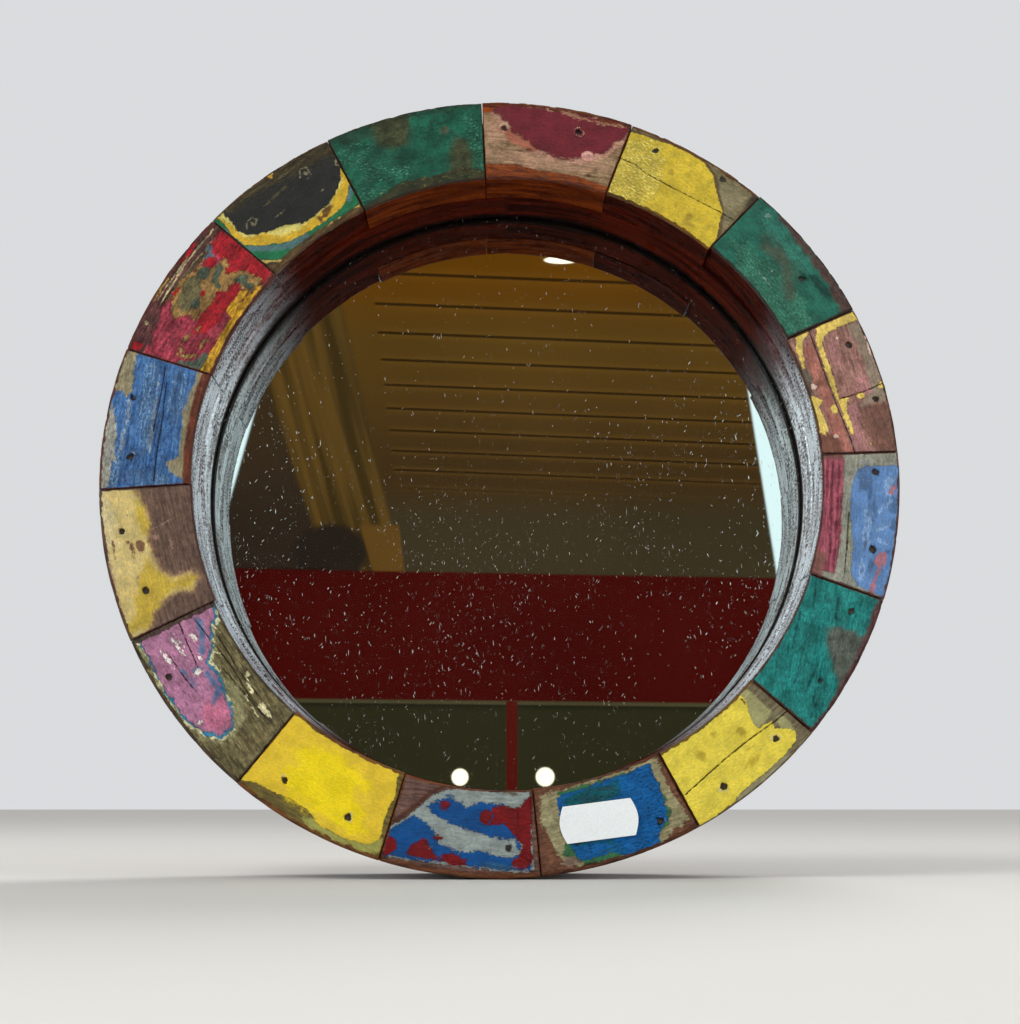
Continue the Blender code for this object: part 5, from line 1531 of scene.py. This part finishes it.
def make_floor():
    """A plain pale floor that runs on to the horizon."""
    shade = Shader("pale_floor")
    cloud = shade.noise(shade.metres(), 3.0, 3.0, 0.5)
    colour = shade.tones(cloud, ((208, 205, 200), (202, 199, 194)))
    shade.finish(Base_Color=colour, Roughness=0.85, Specular_IOR_Level=0.2)
    far = 40.0
    level = cad_box[0].z
    corners = [(-far, -far, level), (far, -far, level), (far, far, level), (-far, far, level)]
    stage_sheet("studio_floor", corners, shade.material)


def card_place(across, up):
    """Where the card is seen in the mirror, from a point of the glass in tenths of the opening."""
    glass_y = glass_box[0].y
    reach = 1 + (glass_y - CARD_Y) / (glass_y - CAMERA.y)
    x = OPENING.x + across * TENTH
    z = OPENING.z + up * TENTH
    return (x - CAMERA.x) * reach + CAMERA.x, (z - CAMERA.z) * reach + CAMERA.z


class Room:
    """Paints the card. Places are tenths of the opening, as they are seen in the mirror."""

    def __init__(self, shade, across, up):
        self.shade = shade
        self.across = across
        self.up = up
        self.colour = linear((61, 43, 20))

    def right_of(self, slope, start, blur=0.06):
        """1 to the right of the line across = start + slope * up."""
        edge = self.shade.times_plus(self.up, -slope, self.across)
        return self.shade.ramp(edge, start - blur, start + blur)

    def left_of(self, slope, start, blur=0.06):
        return self.shade.outside(self.right_of(slope, start, blur))

    def below(self, level, slope=-0.016, blur=0.05):
        """1 under the line up = level + slope * across."""
        edge = self.shade.times_plus(self.across, -slope, self.up)
        return self.shade.ramp(edge, level + blur, level - blur)

    def disc(self, across, up, wide, high, blur=0.25):
        """1 inside an ellipse."""
        right = self.shade.times_plus(self.across, 1 / wide, -across / wide)
        rise = self.shade.times_plus(self.up, 1 / high, -up / high)
        square = self.shade.times_plus(right, right, self.shade.times(rise, rise))
        return self.shade.ramp(square, 1 + blur, 1 - blur)

    def paint(self, factor, tone):
        self.colour = self.shade.mix(factor, self.colour, linear(tone) if isinstance(tone, tuple) else tone)


def paint_ceiling(room, shade, across, up):
    """Boards in perspective, each with a dark gap and a lighter edge, brighter towards the top."""
    room.paint(shade.ramp(up, 0.0, 5.5), (82, 58, 19))
    room.paint(shade.ramp(up, 5.2, 8.2), (95, 57, 6))
    slant = shade.times_plus(shade.times_plus(across, 0.038, up), 0.075, 0.584)
    count = shade.times(shade.math("LOGARITHM", shade.most(slant, 0.1), math.e), 12.93)
    gap = shade.math("PINGPONG", shade.math("ADD", count, 100.04), 0.5)
    ceiling = (room.right_of(-0.13, -3.8), shade.ramp(up, -0.9, 0.8))
    boards = shade.times(shade.ramp(gap, 0.07, 0.03), *ceiling)
    room.paint(shade.times(boards, 0.85), (34, 22, 6))
    light_edge = shade.times(shade.ramp(gap, 0.3, 0.1), *ceiling, shade.outside(boards))
    room.paint(shade.times(light_edge, 0.16), (120, 84, 30))
    room.paint(shade.ramp(up, 0.4, -1.4, 0.0, 0.8), (55, 49, 33))


def room_colour(shade, across, up, wander):
    """A boarded ceiling, a leaning post, a red wall and a dark counter, all dim and plain."""
    room = Room(shade, across, up)
    paint_ceiling(room, shade, across, up)
    leaning = shade.times_plus(up, 0.29, across)
    planks = shade.node("ShaderNodeCombineXYZ", {0: leaning, 1: shade.times(up, 0.04)})
    planks = shade.ramp(shade.noise(planks, 2.6, 2.0, 0.5), 0.35, 0.65)
    room.paint(room.left_of(-0.242, -4.21, 0.12), shade.tones(planks, ((56, 42, 18), (88, 64, 26))))
    shaded = room.left_of(-0.345, -7.03, 0.1)
    room.paint(shaded, shade.tones(shade.ramp(up, -2.0, 3.0), ((43, 33, 25), (54, 40, 25))))
    room.paint(room.disc(-5.95, -2.2, 1.25, 1.0, 0.3), (36, 28, 22))
    room.paint(shade.times(room.right_of(-0.3, -5.35), room.left_of(-0.13, -3.82),
                           shade.ramp(up, -1.1, -1.35)), (92, 64, 24))
    room.paint(shade.times(room.below(-2.55, 0.02, 0.1), shaded), (26, 20, 16))
    room.paint(room.below(-2.866), shade.tones(wander, ((58, 4, 3), (66, 9, 5))))
    room.paint(room.below(-7.12, -0.01), (70, 64, 42))
    room.paint(room.below(-7.24, -0.01, 0.03), (30, 30, 17))
    room.paint(room.below(-7.36, -0.01, 0.1), shade.tones(wander, ((45, 43, 25), (37, 36, 21))))
    post = shade.ramp(shade.size_of(shade.minus(across, 0.15)), 0.22, 0.14)
    room.paint(shade.times(post, room.below(-7.12, -0.01)), (76, 16, 11))
    return room


def card_axis(shade, value, low, high):
    """From a place on the card to tenths of the opening."""
    return shade.node("ShaderNodeMapRange", {"Value": value, "From Min": low, "From Max": high,
                                             "To Min": -10.0, "To Max": 10.0}, clamp=False)


def make_card():
    """What the mirror reflects: a dim room between two bright windows, seen only by glossy rays."""
    shade = Shader("reflected_room")
    tree = shade.tree
    tree.nodes.remove(shade.surface)
    glow = tree.nodes.new("ShaderNodeEmission")
    tree.links.new(glow.outputs[0], tree.nodes["Material Output"].inputs["Surface"])
    place = shade.metres()
    parts = shade.parts(place)
    left, bottom = card_place(-10, -10)
    right, top = card_place(10, 10)
    across = card_axis(shade, parts["X"], left, right)
    up = card_axis(shade, parts["Z"], bottom, top)
    wander = shade.noise(place, 6.0, 3.0, 0.5)
    room = room_colour(shade, across, up, wander)
    room.colour = shade.brightened(room.colour, shade.ramp(wander, 0.3, 0.7, 0.92, 1.08))
    window = shade.times(shade.most(room.left_of(0.228, -9.33), room.right_of(-0.109, 8.75)),
                         shade.ramp(up, -9.0, -8.0))
    room.paint(window, (222, 246, 250))
    lamp = shade.most(room.disc(-1.53, -9.57, 0.27, 0.27), room.disc(1.23, -9.56, 0.3, 0.3),
                      room.disc(1.9, 8.42, 0.6, 0.14))
    room.paint(lamp, (255, 246, 214))
    shade.plug(glow.inputs["Color"], room.colour)
    aside = shade.size_of(across)
    beyond = shade.times(shade.ramp(aside, 11.0, 12.0), shade.ramp(aside, 25.0, 22.0),
                         shade.ramp(shade.size_of(up), 13.0, 9.0))
    strength = shade.blend(window, ROOM_GLOW, shade.blend(beyond, ROOM_GLOW, WINDOW_GLOW))
    shade.plug(glow.inputs["Strength"], shade.blend(lamp, strength, LAMP_GLOW))
    wide, top_z = 1.5, 1.6
    low_z = cad_box[0].z
    card = stage_sheet("reflection_card", [(-wide, CARD_Y, low_z), (wide, CARD_Y, low_z),
                                           (wide, CARD_Y, top_z), (-wide, CARD_Y, top_z)], shade.material)
    card.visible_camera = False
    card.visible_diffuse = False
    card.visible_shadow = False
    card.visible_transmission = False


def add_light(name, kind, place, size, power, tone=(1.0, 1.0, 1.0)):
    """A soft light aimed at the object. A sun's size is its angle in radians."""
    light = bpy.data.lights.new(name, kind)
    if kind == "SUN":
        light.angle = size
    else:
        light.shape = "DISK"
        light.size = size
    light.energy = power
    light.color = tone
    lamp = link(name, light)
    lamp.location = place
    lamp.rotation_euler = (-Vector(place)).to_track_quat("-Z", "Y").to_euler()


def set_world():
    """A pale even sky, dimmer where only glossy rays meet it so that dark paint stays dark."""
    world = bpy.data.worlds.new("studio")
    world.use_nodes = True
    tree = world.node_tree
    sky = tree.nodes["Background"]
    sky.inputs["Color"].default_value = (0.92, 0.94, 0.96, 1)
    rays = tree.nodes.new("ShaderNodeLightPath")
    strength = tree.nodes.new("ShaderNodeMix")
    strength.inputs[2].default_value = SKY
    strength.inputs[3].default_value = SKY_FOR_GLOSSY
    tree.links.new(rays.outputs["Is Glossy Ray"], strength.inputs[0])
    seen = tree.nodes.new("ShaderNodeMix")
    seen.inputs[3].default_value = SKY_FOR_CAMERA
    tree.links.new(rays.outputs["Is Camera Ray"], seen.inputs[0])
    tree.links.new(strength.outputs[0], seen.inputs[2])
    tree.links.new(seen.outputs[0], sky.inputs["Strength"])
    bpy.context.scene.world = world


def set_light():
    set_world()
    add_light("key", "AREA", (-0.9, -0.9, 1.3), 0.9, 13.0, (1.0, 0.98, 0.95))
    add_light("left_window", "AREA", (-1.3, -0.45, 0.3), 0.7, 8.0, (0.95, 0.98, 1.0))
    add_light("right_window", "AREA", (1.3, -0.45, 0.25), 0.7, 8.0, (0.95, 0.98, 1.0))
    add_light("rear", "SUN", (0.5, 0.8, 1.1), 0.5, 1.5)
    bpy.context.scene.view_settings.view_transform = "Standard"


def set_camera():
    camera = bpy.data.cameras.new("photo_view")
    camera.lens = 45.7
    camera.sensor_width = 36.0
    camera.clip_start = 0.01
    viewer = link("photo_view", camera)
    viewer.location = CAMERA
    viewer.rotation_euler = CAMERA_AIM.to_track_quat("-Z", "Y").to_euler()
    bpy.context.scene.camera = viewer


# ---------------------------------------------------------------- everything together

for block_label, block_plan in BLOCKS.items():
    make_block(block_label, block_plan)
make_base_ring()
make_mirror()
make_back_board()
nail_steel = rusty_steel()
for block_label in BLOCKS:
    for nail_letter in "ab":
        make_nail(block_label, nail_letter, nail_steel)
zinc = zinc_steel()
for screw in [f"board_screw_{number}" for number in range(1, 5)] + ["hanger_screw_1", "hanger_screw_2"]:
    make_screw(screw, zinc)
make_hanger(zinc)
make_label()
make_floor()
make_card()
set_light()
set_camera()
